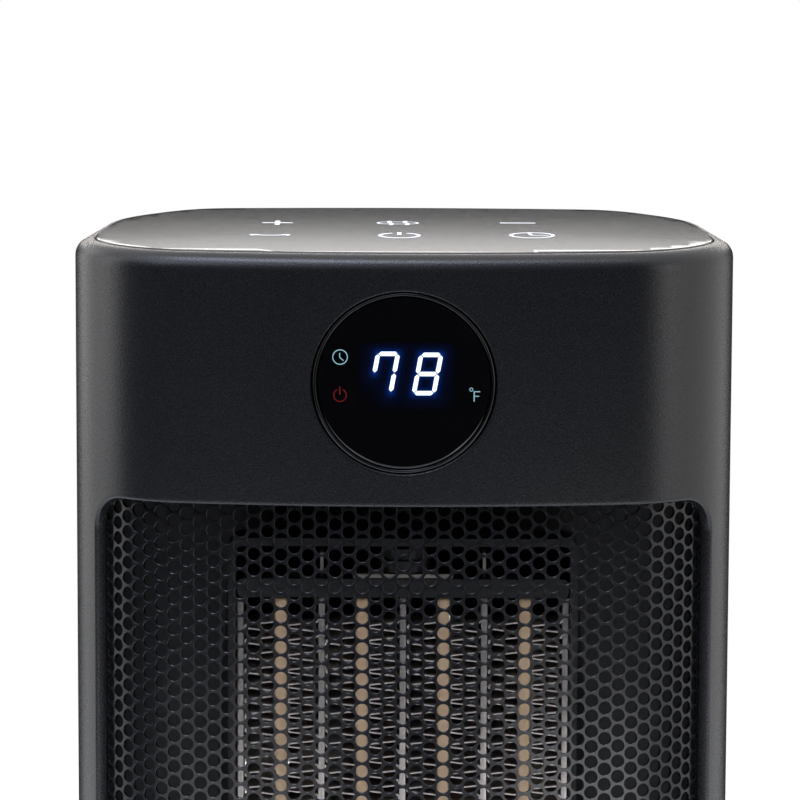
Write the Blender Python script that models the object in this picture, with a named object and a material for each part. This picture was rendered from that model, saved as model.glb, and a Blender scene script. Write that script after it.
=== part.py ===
"""Desktop ceramic heater with a swivel base, modelled as separate parts.

Frame: X is the width, the front faces -Y, +Z is up, and the origin lies on
the surface under the middle of the object.  Lengths are metres.
"""
import math

import bmesh
import bpy
from mathutils import Matrix, Vector

MM = 0.001

# Fits shared by all parts
GAP = 0.3 * MM              # clearance between parts that seat on each other
OVERRUN = 6 * MM            # how far a cutter runs past what it cuts
ROUND_STEPS = 28            # sides of a large turned part
SMALL_STEPS = 12            # sides of a small turned part
ARC_STEPS = 6               # segments of a body corner
BOW_STEPS = 6               # segments of a bowed face
RIM_STEPS = 3               # segments of a rolled edge
WELD = 0.002 * MM           # points nearer than this are one

# Body plan: a bowed front and back joined by round corners
BODY_WIDTH = 170 * MM
BODY_DEPTH = 110 * MM
FRONT_RADIUS = 353 * MM
FRONT_CORNER = 34.5 * MM
REAR_RADIUS = 600 * MM
REAR_CORNER = 42 * MM

# Body heights
FOOT_HEIGHT = 1.7 * MM
BASE_TOP = 22 * MM
BODY_LIFT = 2 * MM          # slit between the base and the skirt of the body
BODY_HEIGHT = 237.6 * MM

# Outer shells
SHELL_WALL = 3.0 * MM
TOP_ROUND = 4.4 * MM
BOTTOM_ROUND = 1.2 * MM
RIM_WIDTH = 5.0 * MM        # from the side of the body to the touch panel
LEDGE_WIDTH = 4.0 * MM
LEDGE_WALL = 2.2 * MM
SEAM_Y = 12 * MM            # where front shell and rear cover meet

# Touch panel
PANEL_THICKNESS = 2.0 * MM
PANEL_CROWN = 0.4 * MM
PANEL_EDGE = 0.4 * MM
CROWN_REACH = 20 * MM
TOUCH_BOARD_WIDTH = 118 * MM
TOUCH_BOARD_DEPTH = 56 * MM
BOARD_THICKNESS = 1.6 * MM

# Air outlet window and the perforated sheet behind it
WINDOW_DROP = 64.0 * MM     # top of the body down to the window
WINDOW_FOOT = 22 * MM       # skirt of the body below the window
WINDOW_ARC = 162 * MM       # measured along the sheet
WINDOW_CORNER = 9.5 * MM
SHEET_THICKNESS = 0.8 * MM
SHEET_OVERLAP = 4.0 * MM    # sheet hidden behind the frame of the window
SHEET_BORDER = 1.5 * MM     # unpunched edge of the sheet
PUNCH_PITCH = 20 * MM
PUNCH_WIDTH = 15.5 * MM
MIDDLE_COLUMNS = 2          # punched columns each side of the middle one

# Round display
DISPLAY_DROP = 32.3 * MM
DISPLAY_RADIUS = 23.0 * MM
BEZEL_WALL = 0.9 * MM
BEZEL_LENGTH = 9.5 * MM
BEZEL_FLANGE = 4.5 * MM
FLANGE_THICKNESS = 1.6 * MM
DISPLAY_PROUD = 0.1 * MM    # lens face behind the crown of the front
LENS_THICKNESS = 2.0 * MM
LENS_SEAT = 1.2 * MM
DISPLAY_BOARD_WIDTH = 62 * MM
DISPLAY_BOARD_HEIGHT = 44 * MM
DIGIT_WIDTH = 30 * MM
DIGIT_HEIGHT = 17 * MM

# Ceramic heating element
PTC_DROP = 90.6 * MM
PTC_SETBACK = 17 * MM
PTC_DEPTH = 12 * MM
PTC_HEIGHT = 109 * MM
CORE_COUNT = 4
CORE_PITCH = 20.9 * MM
CORE_WIDTH = 3.0 * MM
RAIL_WIDTH = 1.6 * MM
HOLDER_HEIGHT = 4.8 * MM
HOLDER_LIP = 0.8 * MM
FIN_FOLDS = 9
FIN_METAL = 0.8 * MM
FIN_BRAZE = 0.5 * MM        # fin edge sunk in its rail
TERMINAL_WIDTH = 6.3 * MM
TERMINAL_HEIGHT = 11 * MM
TERMINAL_METAL = 0.8 * MM

# Overheat cut-out on its bracket above the element
CUTOUT_RADIUS = 7 * MM
CUTOUT_LENGTH = 6 * MM
BRACKET_WIDTH = 25.6 * MM
BRACKET_METAL = 1.0 * MM
MOUTH_HEADROOM = 1.0 * MM

# Air duct, clipped into its chassis plate
DUCT_WALL = 2.0 * MM
DUCT_FLANGE = 1.6 * MM      # collar of the duct behind the plate
FLANGE_WALL = 2.0 * MM
MOUTH_LIP = 1.0 * MM
MOUTH_CORNER = 1.5 * MM
THROAT_LENGTH = 14 * MM
RING_LENGTH = 24 * MM
PLATE_THICKNESS = 2.5 * MM
PLATE_TOP_DROP = 12 * MM
PLATE_CORNER = 6 * MM

# Fan
FAN_RADIUS = 44.5 * MM
FAN_TIP_GAP = 2.5 * MM
HUB_RADIUS = 15 * MM
HUB_LENGTH = 17 * MM
HUB_WALL = 2.0 * MM
HUB_EDGE = 1.5 * MM
HUB_BOSS = 4.5 * MM
BLADE_COUNT = 7
BLADE_ROOT_CHORD = 20 * MM
BLADE_TIP_CHORD = 30 * MM
BLADE_THICKNESS = 1.6 * MM
BLADE_CAMBER = 2.4 * MM
BLADE_ROOT_PITCH = math.radians(44)
BLADE_TIP_PITCH = math.radians(26)
BLADE_STATIONS = 4
SHAFT_RADIUS = 2.0 * MM
SHAFT_DEPTH = 9 * MM        # length of the shaft inside the motor

# Fan motor and its spider bracket
MOTOR_RADIUS = 18 * MM
MOTOR_REAR_ROOM = 7 * MM    # from the motor's cap to the rear cover
MOTOR_EDGE = 1.5 * MM
MOTOR_BOSS_RADIUS = 5 * MM
MOTOR_CAP_RADIUS = 7 * MM
MOTOR_CAP_LENGTH = 3 * MM
SPIDER_THICKNESS = 2.4 * MM
SPIDER_LUG = 4 * MM         # round end of an arm, on the rim of the duct
SPIDER_ARM = 5 * MM
SPIDER_ARMS = 4
SPIDER_HUB = 14 * MM

# Control board with its parts, on the back of the chassis plate
CONTROL_WIDTH = 120 * MM
CONTROL_HEIGHT = 62 * MM
CONTROL_DROP = 23 * MM      # top of the body down to the board
STANDOFF_LENGTH = 3 * MM
STANDOFF_RADIUS = 3.5 * MM
STANDOFF_INSET = 8 * MM
RELAY_WIDTH = 19 * MM
RELAY_HEIGHT = 15.5 * MM
RELAY_DEPTH = 15 * MM
RELAY_X = -44 * MM
RELAY_SPACING = 24 * MM
RELAY_COUNT = 2
CAPACITOR_RADIUS = 8 * MM
CAPACITOR_LENGTH = 22 * MM
CAPACITOR_X = 2 * MM
CAPACITOR_EDGE = 1.0 * MM
SINK_X = 34 * MM
SINK_WIDTH = 26 * MM
SINK_HEIGHT = 34 * MM
SINK_DEPTH = 16 * MM
SINK_BASE = 3 * MM
SINK_FIN = 1.6 * MM
SINK_FINS = 5

# Rear cover: intake slots, screw recesses and the connection pocket
SLOT_LENGTH = 44 * MM
SLOT_HEIGHT = 3.2 * MM
SLOT_PITCH = 6.8 * MM
SLOT_ROWS = 12
SLOT_COLUMNS = 2
SLOT_RIB = 8 * MM
POCKET_WIDTH = 104 * MM
POCKET_HEIGHT = 27 * MM
POCKET_DEPTH = 3.4 * MM
POCKET_LIFT = 14 * MM       # bottom of the body up to the pocket
POCKET_CORNER = 4 * MM
SWITCH_X = 30 * MM
GLAND_X = -30 * MM
SCREW_SIDE = 32.5 * MM       # screws in from the side of the body
SCREW_LOW = 50 * MM         # height of the lower screws above the body's edge
SCREW_HIGH = 18 * MM        # upper screws below the top
SCREW_RADIUS = 1.5 * MM
SCREW_LENGTH = 11 * MM
HEAD_RADIUS = 3.0 * MM
HEAD_HEIGHT = 1.5 * MM
POST_RADIUS = 4 * MM

# Rocker switch and cord gland
FRAME_WIDTH = 21 * MM
FRAME_HEIGHT = 15 * MM
FRAME_FLANGE = 1.6 * MM
SWITCH_BODY_WIDTH = 19 * MM
SWITCH_BODY_HEIGHT = 13.4 * MM
SWITCH_BODY_DEPTH = 15 * MM
SWITCH_WELL_WALL = 1.0 * MM
ROCKER_TILT = math.radians(9)
ROCKER_HALF = 5.0 * MM
ROCKER_TOP = 2.9 * MM
ROCKER_DISH = 0.9 * MM
ROCKER_SIDE = 1.2 * MM
ROCKER_KEEL = 2.6 * MM
ROCKER_SINK = 2.3 * MM      # rocker pivot behind the face of its frame
ROCKER_SWING_ROOM = 1.0 * MM
GLAND_FLANGE_RADIUS = 8 * MM
GLAND_RADIUS = 5.5 * MM
GLAND_BORE = 3.4 * MM
GLAND_FLANGE = 1.8 * MM
GLAND_LENGTH = 12 * MM
GLAND_NUT_RADIUS = 8.5 * MM
GLAND_NUT = 4 * MM

# Floor of the body with its pivot hub
FLOOR_LIFT = 2 * MM         # body's lower edge up to the floor
FLOOR_THICKNESS = 2.5 * MM
PIVOT_RADIUS = 11.7 * MM
PIVOT_BORE = 8.5 * MM
RETAINER_RADIUS = 17 * MM
RETAINER_THICKNESS = 2.8 * MM
RETAINER_BORE = 6 * MM
GLIDE_ROOM = 1.0 * MM       # between the pinion's teeth and the glide ring
GLIDE_WIDTH = 4 * MM

# Swing gearing
GEAR_MODULE = 1.2 * MM
SECTOR_TEETH = 28
SECTOR_CUT_TEETH = 9
PINION_TEETH = 14
PRESSURE_ANGLE = math.radians(20)
GEAR_BACKLASH = 0.4 * MM
ADDENDUM_SHARE = 0.85
DEDENDUM_SHARE = 1.25
GEAR_WIDTH = 2.8 * MM
SECTOR_BORE = 13 * MM
PINION_ANGLE = math.radians(45)
PINION_SHAFT = 2.0 * MM
PINION_SHAFT_REACH = 6 * MM
SWING_MOTOR_RADIUS = 20 * MM
SWING_MOTOR_HEIGHT = 15 * MM
SWING_MOTOR_EDGE = 1.2 * MM
SWING_MOTOR_LUG = 5 * MM
SWING_MOTOR_LUG_HEIGHT = 1.6 * MM

# Base
BASE_FOOT_INSET = 3 * MM
BASE_SHOULDER_INSET = 6.5 * MM
BASE_SHOULDER_DROP = 2.5 * MM
BASE_TOP_INSET = 9 * MM
BASE_WALL = 2.5 * MM
BASE_PLATE = 2.0 * MM
FOOT_RADIUS = 7 * MM
FOOT_INSET = 25 * MM        # middle of a foot in from the sides of the body
FOOT_EDGE = 0.4 * MM
BASE_SCREW_SIDE = 37 * MM   # base screws in from the sides of the body
BASE_SCREW_END = 29 * MM

# Tip-over switch with its plunger
TIP_SIDE = 23 * MM          # plunger in from the side of the body
TIP_Y = 0 * MM
TIP_TRAVEL = 3 * MM
TIP_LIFT = 0.4 * MM         # plunger tip above the surface
PLUNGER_RADIUS = 3 * MM
PLUNGER_COLLAR = 4.4 * MM
PLUNGER_COLLAR_HEIGHT = 1.2 * MM
PLUNGER_LENGTH = 13.5 * MM
PLUNGER_TIP_ROUND = 1.2 * MM
TIP_BOX_WIDTH = 18 * MM
TIP_BOX_DEPTH = 12 * MM
TIP_BOX_WALL = 1.5 * MM

# Heights and depths that follow from the sizes above
BODY_BOTTOM = BASE_TOP + BODY_LIFT
BODY_TOP = BODY_BOTTOM + BODY_HEIGHT
FRONT_Y = -BODY_DEPTH / 2
BACK_Y = BODY_DEPTH / 2
HALF_WIDTH = BODY_WIDTH / 2
DISPLAY_Z = BODY_TOP - DISPLAY_DROP
WINDOW_TOP = BODY_TOP - WINDOW_DROP
WINDOW_BOTTOM = BODY_BOTTOM + WINDOW_FOOT
SHEET_INSET = SHELL_WALL + GAP
PTC_TOP = BODY_TOP - PTC_DROP
PTC_BOTTOM = PTC_TOP - PTC_HEIGHT
PTC_FRONT = FRONT_Y + PTC_SETBACK
PTC_BACK = PTC_FRONT + PTC_DEPTH
PTC_HALF = (CORE_COUNT * CORE_PITCH + RAIL_WIDTH) / 2
PTC_MIDDLE_Z = (PTC_TOP + PTC_BOTTOM) / 2
RING_FRONT = PTC_BACK + THROAT_LENGTH
RING_BACK = RING_FRONT + RING_LENGTH
RING_BORE = FAN_RADIUS + FAN_TIP_GAP
FAN_Y = RING_FRONT + RING_LENGTH / 2
PLATE_FRONT = RING_FRONT - PLATE_THICKNESS
MOTOR_FRONT = RING_BACK + GAP + SPIDER_THICKNESS + GAP
MOTOR_LENGTH = BACK_Y - SHELL_WALL - MOTOR_REAR_ROOM - MOTOR_CAP_LENGTH - MOTOR_FRONT
SCREW_X = HALF_WIDTH - SCREW_SIDE
FLOOR_BOTTOM = BODY_BOTTOM + FLOOR_LIFT
FLOOR_TOP = FLOOR_BOTTOM + FLOOR_THICKNESS
BASE_BOTTOM = FOOT_HEIGHT + GAP
POCKET_FLOOR = BACK_Y - POCKET_DEPTH
POCKET_MIDDLE = BODY_BOTTOM + POCKET_LIFT + POCKET_HEIGHT / 2
CONTROL_BACK = RING_FRONT + STANDOFF_LENGTH + GAP + BOARD_THICKNESS
CONTROL_MIDDLE = BODY_TOP - CONTROL_DROP - CONTROL_HEIGHT / 2
PITCH_RADIUS = GEAR_MODULE * SECTOR_TEETH / 2
PINION_PITCH_RADIUS = GEAR_MODULE * PINION_TEETH / 2
PINION_DISTANCE = PITCH_RADIUS + PINION_PITCH_RADIUS
GLIDE_INNER = PINION_DISTANCE + PINION_PITCH_RADIUS + GEAR_MODULE + GLIDE_ROOM
FOOT_X = HALF_WIDTH - FOOT_INSET
FOOT_Y = BACK_Y - FOOT_INSET
BASE_SCREW_X = HALF_WIDTH - BASE_SCREW_SIDE
BASE_SCREW_Y = BACK_Y - BASE_SCREW_END
TIP_X = TIP_SIDE - HALF_WIDTH


def clear_scene():
    """Remove whatever the file opened with."""
    for old in list(bpy.data.objects):
        bpy.data.objects.remove(old, do_unlink=True)


def srgb(code):
    """Linear colour of a six-digit sRGB code."""
    channels = [int(code[i:i + 2], 16) / 255 for i in (0, 2, 4)]
    linear = [c / 12.92 if c <= 0.04045 else ((c + 0.055) / 1.055) ** 2.4
              for c in channels]
    return (*linear, 1.0)


def finish(name, code, roughness, metallic=0.0):
    """A plain Principled material."""
    made = bpy.data.materials.new(name)
    made.use_nodes = True
    shader = made.node_tree.nodes["Principled BSDF"]
    shader.inputs["Base Color"].default_value = srgb(code)
    shader.inputs["Roughness"].default_value = roughness
    shader.inputs["Metallic"].default_value = metallic
    made.diffuse_color = srgb(code)
    return made


def empty_at(name, place, parent=None):
    """An axis that moving parts hang on."""
    made = bpy.data.objects.new(name, None)
    bpy.context.collection.objects.link(made)
    made.location = Vector(place)
    if parent:
        made.parent = parent
        made.location = Vector(place) - world_place(parent)
    return made


def world_place(owner):
    """Where an unturned empty stands, through its parents."""
    place = Vector((0, 0, 0))
    while owner:
        place = place + owner.location
        owner = owner.parent
    return place


def piece(name, bm, look, parent, smooth=30):
    """Turn a bmesh in world coordinates into a named part under its parent."""
    bmesh.ops.remove_doubles(bm, verts=bm.verts, dist=WELD)
    bmesh.ops.recalc_face_normals(bm, faces=bm.faces)
    bmesh.ops.translate(bm, verts=bm.verts, vec=-world_place(parent))
    mesh = bpy.data.meshes.new(name)
    bm.to_mesh(mesh)
    bm.free()
    if smooth:
        mesh.shade_smooth()
        mesh.set_sharp_from_angle(angle=math.radians(smooth))
    made = bpy.data.objects.new(name, mesh)
    bpy.context.collection.objects.link(made)
    made.data.materials.append(look)
    made.parent = parent
    return made



def combine(bm, other, operation):
    """Boolean of two bmeshes; both are used up and the result is returned."""
    holders = []
    for source in (bm, other):
        bmesh.ops.recalc_face_normals(source, faces=source.faces)
        mesh = bpy.data.meshes.new("work")
        source.to_mesh(mesh)
        source.free()
        holder = bpy.data.objects.new("work", mesh)
        bpy.context.collection.objects.link(holder)
        holders.append(holder)
    target, tool = holders
    step = target.modifiers.new("step", "BOOLEAN")
    step.operation = operation
    step.solver = "EXACT"
    step.object = tool
    graph = bpy.context.evaluated_depsgraph_get()
    result = bmesh.new()
    result.from_mesh(target.evaluated_get(graph).to_mesh())
    for holder in holders:
        bpy.data.objects.remove(holder, do_unlink=True)
    bmesh.ops.remove_doubles(result, verts=result.verts, dist=WELD)
    return result


def cut(bm, *tools):
    """Take each tool away from bm."""
    for tool in tools:
        bm = combine(bm, tool, "DIFFERENCE")
    return bm


def fuse(bm, *others):
    """Join each other solid to bm."""
    for other in others:
        bm = combine(bm, other, "UNION")
    return bm


def gather(*parts):
    """Put separate solids into one bmesh, unjoined."""
    whole = bmesh.new()
    for part in parts:
        mesh = bpy.data.meshes.new("work")
        part.to_mesh(mesh)
        part.free()
        whole.from_mesh(mesh)
        bpy.data.meshes.remove(mesh)
    return whole


def loft(rings, closed=False):
    """Skin rings of equal point count; closed joins the last to the first."""
    bm = bmesh.new()
    made = [[bm.verts.new(point) for point in ring] for ring in rings]
    pairs = list(zip(made, made[1:]))
    if closed:
        pairs.append((made[-1], made[0]))
    for low, high in pairs:
        count = len(low)
        for i in range(count):
            j = (i + 1) % count
            bm.faces.new((low[i], low[j], high[j], high[i]))
    if not closed:
        bm.faces.new(list(reversed(made[0])))
        bm.faces.new(made[-1])
    bmesh.ops.recalc_face_normals(bm, faces=bm.faces)
    return bm


def prism(outline, low, high, axis="Z"):
    """Extrude a 2-D outline along an axis."""
    def place(point, height):
        if axis == "Z":
            return Vector((point[0], point[1], height))
        if axis == "Y":
            return Vector((point[0], height, point[1]))
        return Vector((height, point[0], point[1]))
    rings = [[place(point, height) for point in outline] for height in (low, high)]
    return loft(rings)


def box(low, high):
    """A block between two corners."""
    x0, y0, z0 = low
    x1, y1, z1 = high
    return prism([(x0, y0), (x1, y0), (x1, y1), (x0, y1)], z0, z1)


def arc(centre, radius, start, end, steps):
    """Points of an arc, both ends included."""
    points = []
    for i in range(steps + 1):
        angle = start + (end - start) * i / steps
        points.append((centre[0] + radius * math.cos(angle),
                       centre[1] + radius * math.sin(angle)))
    return points


def round_rectangle(centre, width, height, corner, steps=3):
    """A rectangle with round corners, counter-clockwise."""
    points = []
    for quarter in range(4):
        start = quarter * math.pi / 2
        sign_x = 1 if quarter in (0, 3) else -1
        sign_y = 1 if quarter in (0, 1) else -1
        middle = (centre[0] + sign_x * (width / 2 - corner),
                  centre[1] + sign_y * (height / 2 - corner))
        points += arc(middle, corner, start, start + math.pi / 2, steps)
    return points


def circle(centre, radius, steps=ROUND_STEPS):
    """A closed circle of points."""
    return arc(centre, radius, 0, 2 * math.pi, steps)[:-1]


def turned(profile, place, axis="Z", steps=ROUND_STEPS, closed=True):
    """Revolve (radius, height) points about an axis through place.

    A closed profile gives a ring; an open one has its ends on the axis side
    capped flat.
    """
    rings = []
    for radius, height in profile:
        ring = []
        for x, y in circle((0, 0), radius, steps):
            local = Vector((x, y, height)) if axis == "Z" else Vector((x, height, -y))
            ring.append(Vector(place) + local)
        rings.append(ring)
    return loft(rings, closed=closed)


def disc(place, radius, low, high, axis="Z", steps=ROUND_STEPS):
    """A plain round bar from low to high along its axis."""
    return turned([(radius, low), (radius, high)], place, axis, steps, closed=False)


def corner_turn(radius, corner):
    """Angle at which a bowed face meets its round corner."""
    return math.asin((HALF_WIDTH - corner) / (radius - corner))


FRONT_TURN = corner_turn(FRONT_RADIUS, FRONT_CORNER)
REAR_TURN = corner_turn(REAR_RADIUS, REAR_CORNER)
FRONT_CENTRE = (0, FRONT_Y + FRONT_RADIUS)
REAR_CENTRE = (0, BACK_Y - REAR_RADIUS)
FRONT_CORNER_Y = FRONT_CENTRE[1] - (FRONT_RADIUS - FRONT_CORNER) * math.cos(FRONT_TURN)
REAR_CORNER_Y = REAR_CENTRE[1] + (REAR_RADIUS - REAR_CORNER) * math.cos(REAR_TURN)


def body_plan(inset):
    """Outline of the body seen from above, moved inwards by inset."""
    down = -math.pi / 2
    up = math.pi / 2
    front_x = HALF_WIDTH - FRONT_CORNER
    rear_x = HALF_WIDTH - REAR_CORNER
    runs = [
        (FRONT_CENTRE, FRONT_RADIUS, down - FRONT_TURN, down + FRONT_TURN, BOW_STEPS),
        ((front_x, FRONT_CORNER_Y), FRONT_CORNER, down + FRONT_TURN, 0, ARC_STEPS),
        ((rear_x, REAR_CORNER_Y), REAR_CORNER, 0, up - REAR_TURN, ARC_STEPS),
        (REAR_CENTRE, REAR_RADIUS, up - REAR_TURN, up + REAR_TURN, BOW_STEPS),
        ((-rear_x, REAR_CORNER_Y), REAR_CORNER, up + REAR_TURN, math.pi, ARC_STEPS),
        ((-front_x, FRONT_CORNER_Y), FRONT_CORNER, math.pi,
         down + 2 * math.pi - FRONT_TURN, ARC_STEPS),
    ]
    points = []
    for centre, radius, start, end, steps in runs:
        run = arc(centre, radius - inset, start, end, steps)
        if points and math.dist(points[-1], run[0]) < WELD:
            run = run[1:]
        points += run
    return points[:-1]


def plan_ring(inset, height):
    """The plan at one height, as 3-D points."""
    return [Vector((x, y, height)) for x, y in body_plan(inset)]


def back_face_y(x, inset):
    """Depth of the back face, on its bow or on its round corner."""
    bow = REAR_RADIUS - inset
    if abs(x) <= bow * math.sin(REAR_TURN):
        return REAR_CENTRE[1] + math.sqrt(bow ** 2 - x ** 2)
    beyond = abs(x) - (HALF_WIDTH - REAR_CORNER)
    return REAR_CORNER_Y + math.sqrt((REAR_CORNER - inset) ** 2 - beyond ** 2)


def front_face_y(x, inset):
    """Depth of the bowed front at x."""
    return FRONT_CENTRE[1] - math.sqrt((FRONT_RADIUS - inset) ** 2 - x * x)


def on_front(run, height, inset):
    """Point on the wrapped front: run is measured along the sheet's face."""
    flat = (FRONT_RADIUS - SHEET_INSET) * FRONT_TURN
    side = math.copysign(1, run)
    run = abs(run)
    if run <= flat:
        turn = run / (FRONT_RADIUS - SHEET_INSET)
        centre = FRONT_CENTRE
        radius = FRONT_RADIUS - inset
    else:
        turn = FRONT_TURN + (run - flat) / (FRONT_CORNER - SHEET_INSET)
        centre = (HALF_WIDTH - FRONT_CORNER, FRONT_CORNER_Y)
        radius = FRONT_CORNER - inset
    return Vector((side * (centre[0] + radius * math.sin(turn)),
                   centre[1] - radius * math.cos(turn), height))


def wrapped_block(half_run, low, high, corner, outer, inner):
    """Solid with a rounded outline, wrapped round the front between insets."""
    columns = []
    for x, z in arc((half_run - corner, high - corner), corner, 0, math.pi / 2, 5):
        columns.append((x, low + high - z, z))
    inner_runs = 16
    reach = half_run - corner
    for i in range(1, inner_runs):
        columns.append((reach - 2 * reach * i / inner_runs, low, high))
    for x, z in arc((-reach, high - corner), corner, math.pi / 2, math.pi, 5):
        columns.append((x, low + high - z, z))
    bm = bmesh.new()
    grid = [[bm.verts.new(on_front(run, height, inset))
             for inset, height in ((outer, bottom), (outer, top), (inner, top), (inner, bottom))]
            for run, bottom, top in columns]
    for left, right in zip(grid, grid[1:]):
        for i in range(4):
            j = (i + 1) % 4
            bm.faces.new((left[i], left[j], right[j], right[i]))
    bm.faces.new(grid[0])
    bm.faces.new(list(reversed(grid[-1])))
    bmesh.ops.recalc_face_normals(bm, faces=bm.faces)
    return bm


def shell_tube():
    """The whole outer wall as one tube with its rolled rim and panel ledge."""
    profile = [(SHELL_WALL, BODY_BOTTOM)]
    for inset, height in arc((BOTTOM_ROUND, BODY_BOTTOM + BOTTOM_ROUND), BOTTOM_ROUND,
                             -math.pi / 2, -math.pi, 2):
        profile.append((inset, height))
    for inset, height in arc((TOP_ROUND, BODY_TOP - TOP_ROUND), TOP_ROUND,
                             math.pi, math.pi / 2, RIM_STEPS):
        profile.append((inset, height))
    seat = BODY_TOP - PANEL_THICKNESS - GAP
    profile += [
        (RIM_WIDTH, BODY_TOP),
        (RIM_WIDTH, seat),
        (RIM_WIDTH + LEDGE_WIDTH, seat),
        (RIM_WIDTH + LEDGE_WIDTH, seat - LEDGE_WALL),
        (SHELL_WALL, seat - LEDGE_WALL),
    ]
    return loft([plan_ring(inset, height) for inset, height in profile], closed=True)


def side_of_seam(front):
    """Block that takes away everything on the far side of the seam."""
    reach = HALF_WIDTH + OVERRUN
    floor = BODY_BOTTOM - OVERRUN
    ceiling = BODY_TOP + OVERRUN
    if front:
        return box((-reach, SEAM_Y - GAP / 2, floor), (reach, BACK_Y + OVERRUN, ceiling))
    return box((-reach, FRONT_Y - OVERRUN, floor), (reach, SEAM_Y + GAP / 2, ceiling))


def make_front_shell(look, parent):
    bm = cut(shell_tube(), side_of_seam(True))
    window = wrapped_block(WINDOW_ARC / 2, WINDOW_BOTTOM, WINDOW_TOP, WINDOW_CORNER,
                           -OVERRUN / 2, SHELL_WALL + OVERRUN / 2)
    porthole = disc((0, FRONT_Y, DISPLAY_Z), DISPLAY_RADIUS + GAP, -OVERRUN, OVERRUN,
                    axis="Y")
    piece("front_shell", cut(bm, window, porthole), look, parent)


def make_rear_cover(look, parent):
    bm = cut(shell_tube(), side_of_seam(False))
    backing = SHELL_WALL
    pad = prism(round_rectangle((0, POCKET_MIDDLE), POCKET_WIDTH + 2 * backing,
                                POCKET_HEIGHT + 2 * backing, POCKET_CORNER + backing),
                POCKET_FLOOR - backing, back_face_y(POCKET_WIDTH / 2, SHELL_WALL / 2), "Y")
    bm = fuse(bm, pad)
    pocket = prism(round_rectangle((0, POCKET_MIDDLE), POCKET_WIDTH, POCKET_HEIGHT,
                                   POCKET_CORNER), POCKET_FLOOR, BACK_Y + OVERRUN, "Y")
    switch_hole = prism(
        round_rectangle((SWITCH_X, POCKET_MIDDLE), SWITCH_BODY_WIDTH + 2 * GAP,
                        SWITCH_BODY_HEIGHT + 2 * GAP, GAP, 1),
        POCKET_FLOOR - OVERRUN, POCKET_FLOOR + OVERRUN, "Y")
    gland_hole = disc((GLAND_X, POCKET_FLOOR, POCKET_MIDDLE), GLAND_RADIUS + GAP,
                      -OVERRUN, OVERRUN, "Y", SMALL_STEPS)
    tools = [pocket, switch_hole, gland_hole, gather(*slot_cutters())]
    for x, z in screw_places():
        face = back_face_y(x, 0)
        tools.append(disc((x, face, z), HEAD_RADIUS + GAP, -HEAD_HEIGHT - GAP, OVERRUN,
                          "Y", SMALL_STEPS))
        tools.append(disc((x, face, z), SCREW_RADIUS + GAP, -OVERRUN, OVERRUN, "Y", 8))
    piece("rear_cover", cut(bm, *tools), look, parent)


def slot_cutters():
    """Intake slots in two columns level with the fan."""
    cutters = []
    half_rows = (SLOT_ROWS - 1) / 2
    half_columns = (SLOT_COLUMNS - 1) / 2
    for column in range(SLOT_COLUMNS):
        x = (column - half_columns) * (SLOT_LENGTH + SLOT_RIB)
        for row in range(SLOT_ROWS):
            z = PTC_MIDDLE_Z + (row - half_rows) * SLOT_PITCH
            outline = round_rectangle((x, z), SLOT_LENGTH, SLOT_HEIGHT, SLOT_HEIGHT / 2 - WELD, 1)
            cutters.append(prism(outline, BACK_Y - 2 * OVERRUN, BACK_Y + OVERRUN, "Y"))
    return cutters


def screw_places():
    """Where the rear cover is screwed to the chassis posts."""
    heights = (BODY_BOTTOM + SCREW_LOW, BODY_TOP - SCREW_HIGH)
    return [(side * SCREW_X, height) for side in (-1, 1) for height in heights]


def make_cover_screws(look, parent):
    for number, (x, z) in enumerate(screw_places(), 1):
        seat = back_face_y(x, 0) - HEAD_HEIGHT
        profile = [(SCREW_RADIUS, -SCREW_LENGTH), (SCREW_RADIUS, 0), (HEAD_RADIUS, 0),
                   (HEAD_RADIUS, HEAD_HEIGHT / 2), (HEAD_RADIUS / 2, HEAD_HEIGHT - GAP)]
        screw = turned(profile, (x, seat, z), "Y", 8, closed=False)
        piece(f"cover_screw_{number}", screw, look, parent)


def make_touch_panel(look, board_look, parent):
    inset = RIM_WIDTH + GAP
    under = BODY_TOP - PANEL_THICKNESS
    crown_inset_shares = (0.0, 0.35, 1.0)
    crown_rise_shares = (0.0, 0.55, 1.0)
    crown_reach = BODY_DEPTH / 2 - inset - REAR_CORNER / 2
    rings = [plan_ring(inset, under), plan_ring(inset, BODY_TOP - PANEL_EDGE)]
    for reach, rise in zip(crown_inset_shares, crown_rise_shares):
        level = BODY_TOP + rise * PANEL_CROWN
        pull = PANEL_EDGE + reach * crown_reach / 2
        rings.append(plan_ring(inset + pull, level))
    piece("touch_panel", loft(rings), look, parent)
    top = under - GAP
    half_x = TOUCH_BOARD_WIDTH / 2
    half_y = TOUCH_BOARD_DEPTH / 2
    board = box((-half_x, -half_y, top - BOARD_THICKNESS), (half_x, half_y, top))
    piece("touch_board", board, board_look, parent)


def make_front_grille(look, parent):
    """Perforated sheet in three panels that interlock along a column of cells."""
    reach = math.ceil((WINDOW_ARC / 2 + SHEET_OVERLAP) / (1.5 * PUNCH_PITCH / math.sqrt(3))) + 1
    part = 2 * GAP / math.sqrt(3)
    panels = (
        ("grille_left", range(-reach, -MIDDLE_COLUMNS), -part),
        ("front_grille", range(-MIDDLE_COLUMNS, MIDDLE_COLUMNS + 1), 0),
        ("grille_right", range(MIDDLE_COLUMNS + 1, reach + 1), part))
    for name, columns, shift in panels:
        piece(name, wrapped_sheet(punched_flat(columns, shift)), look, parent)


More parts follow.
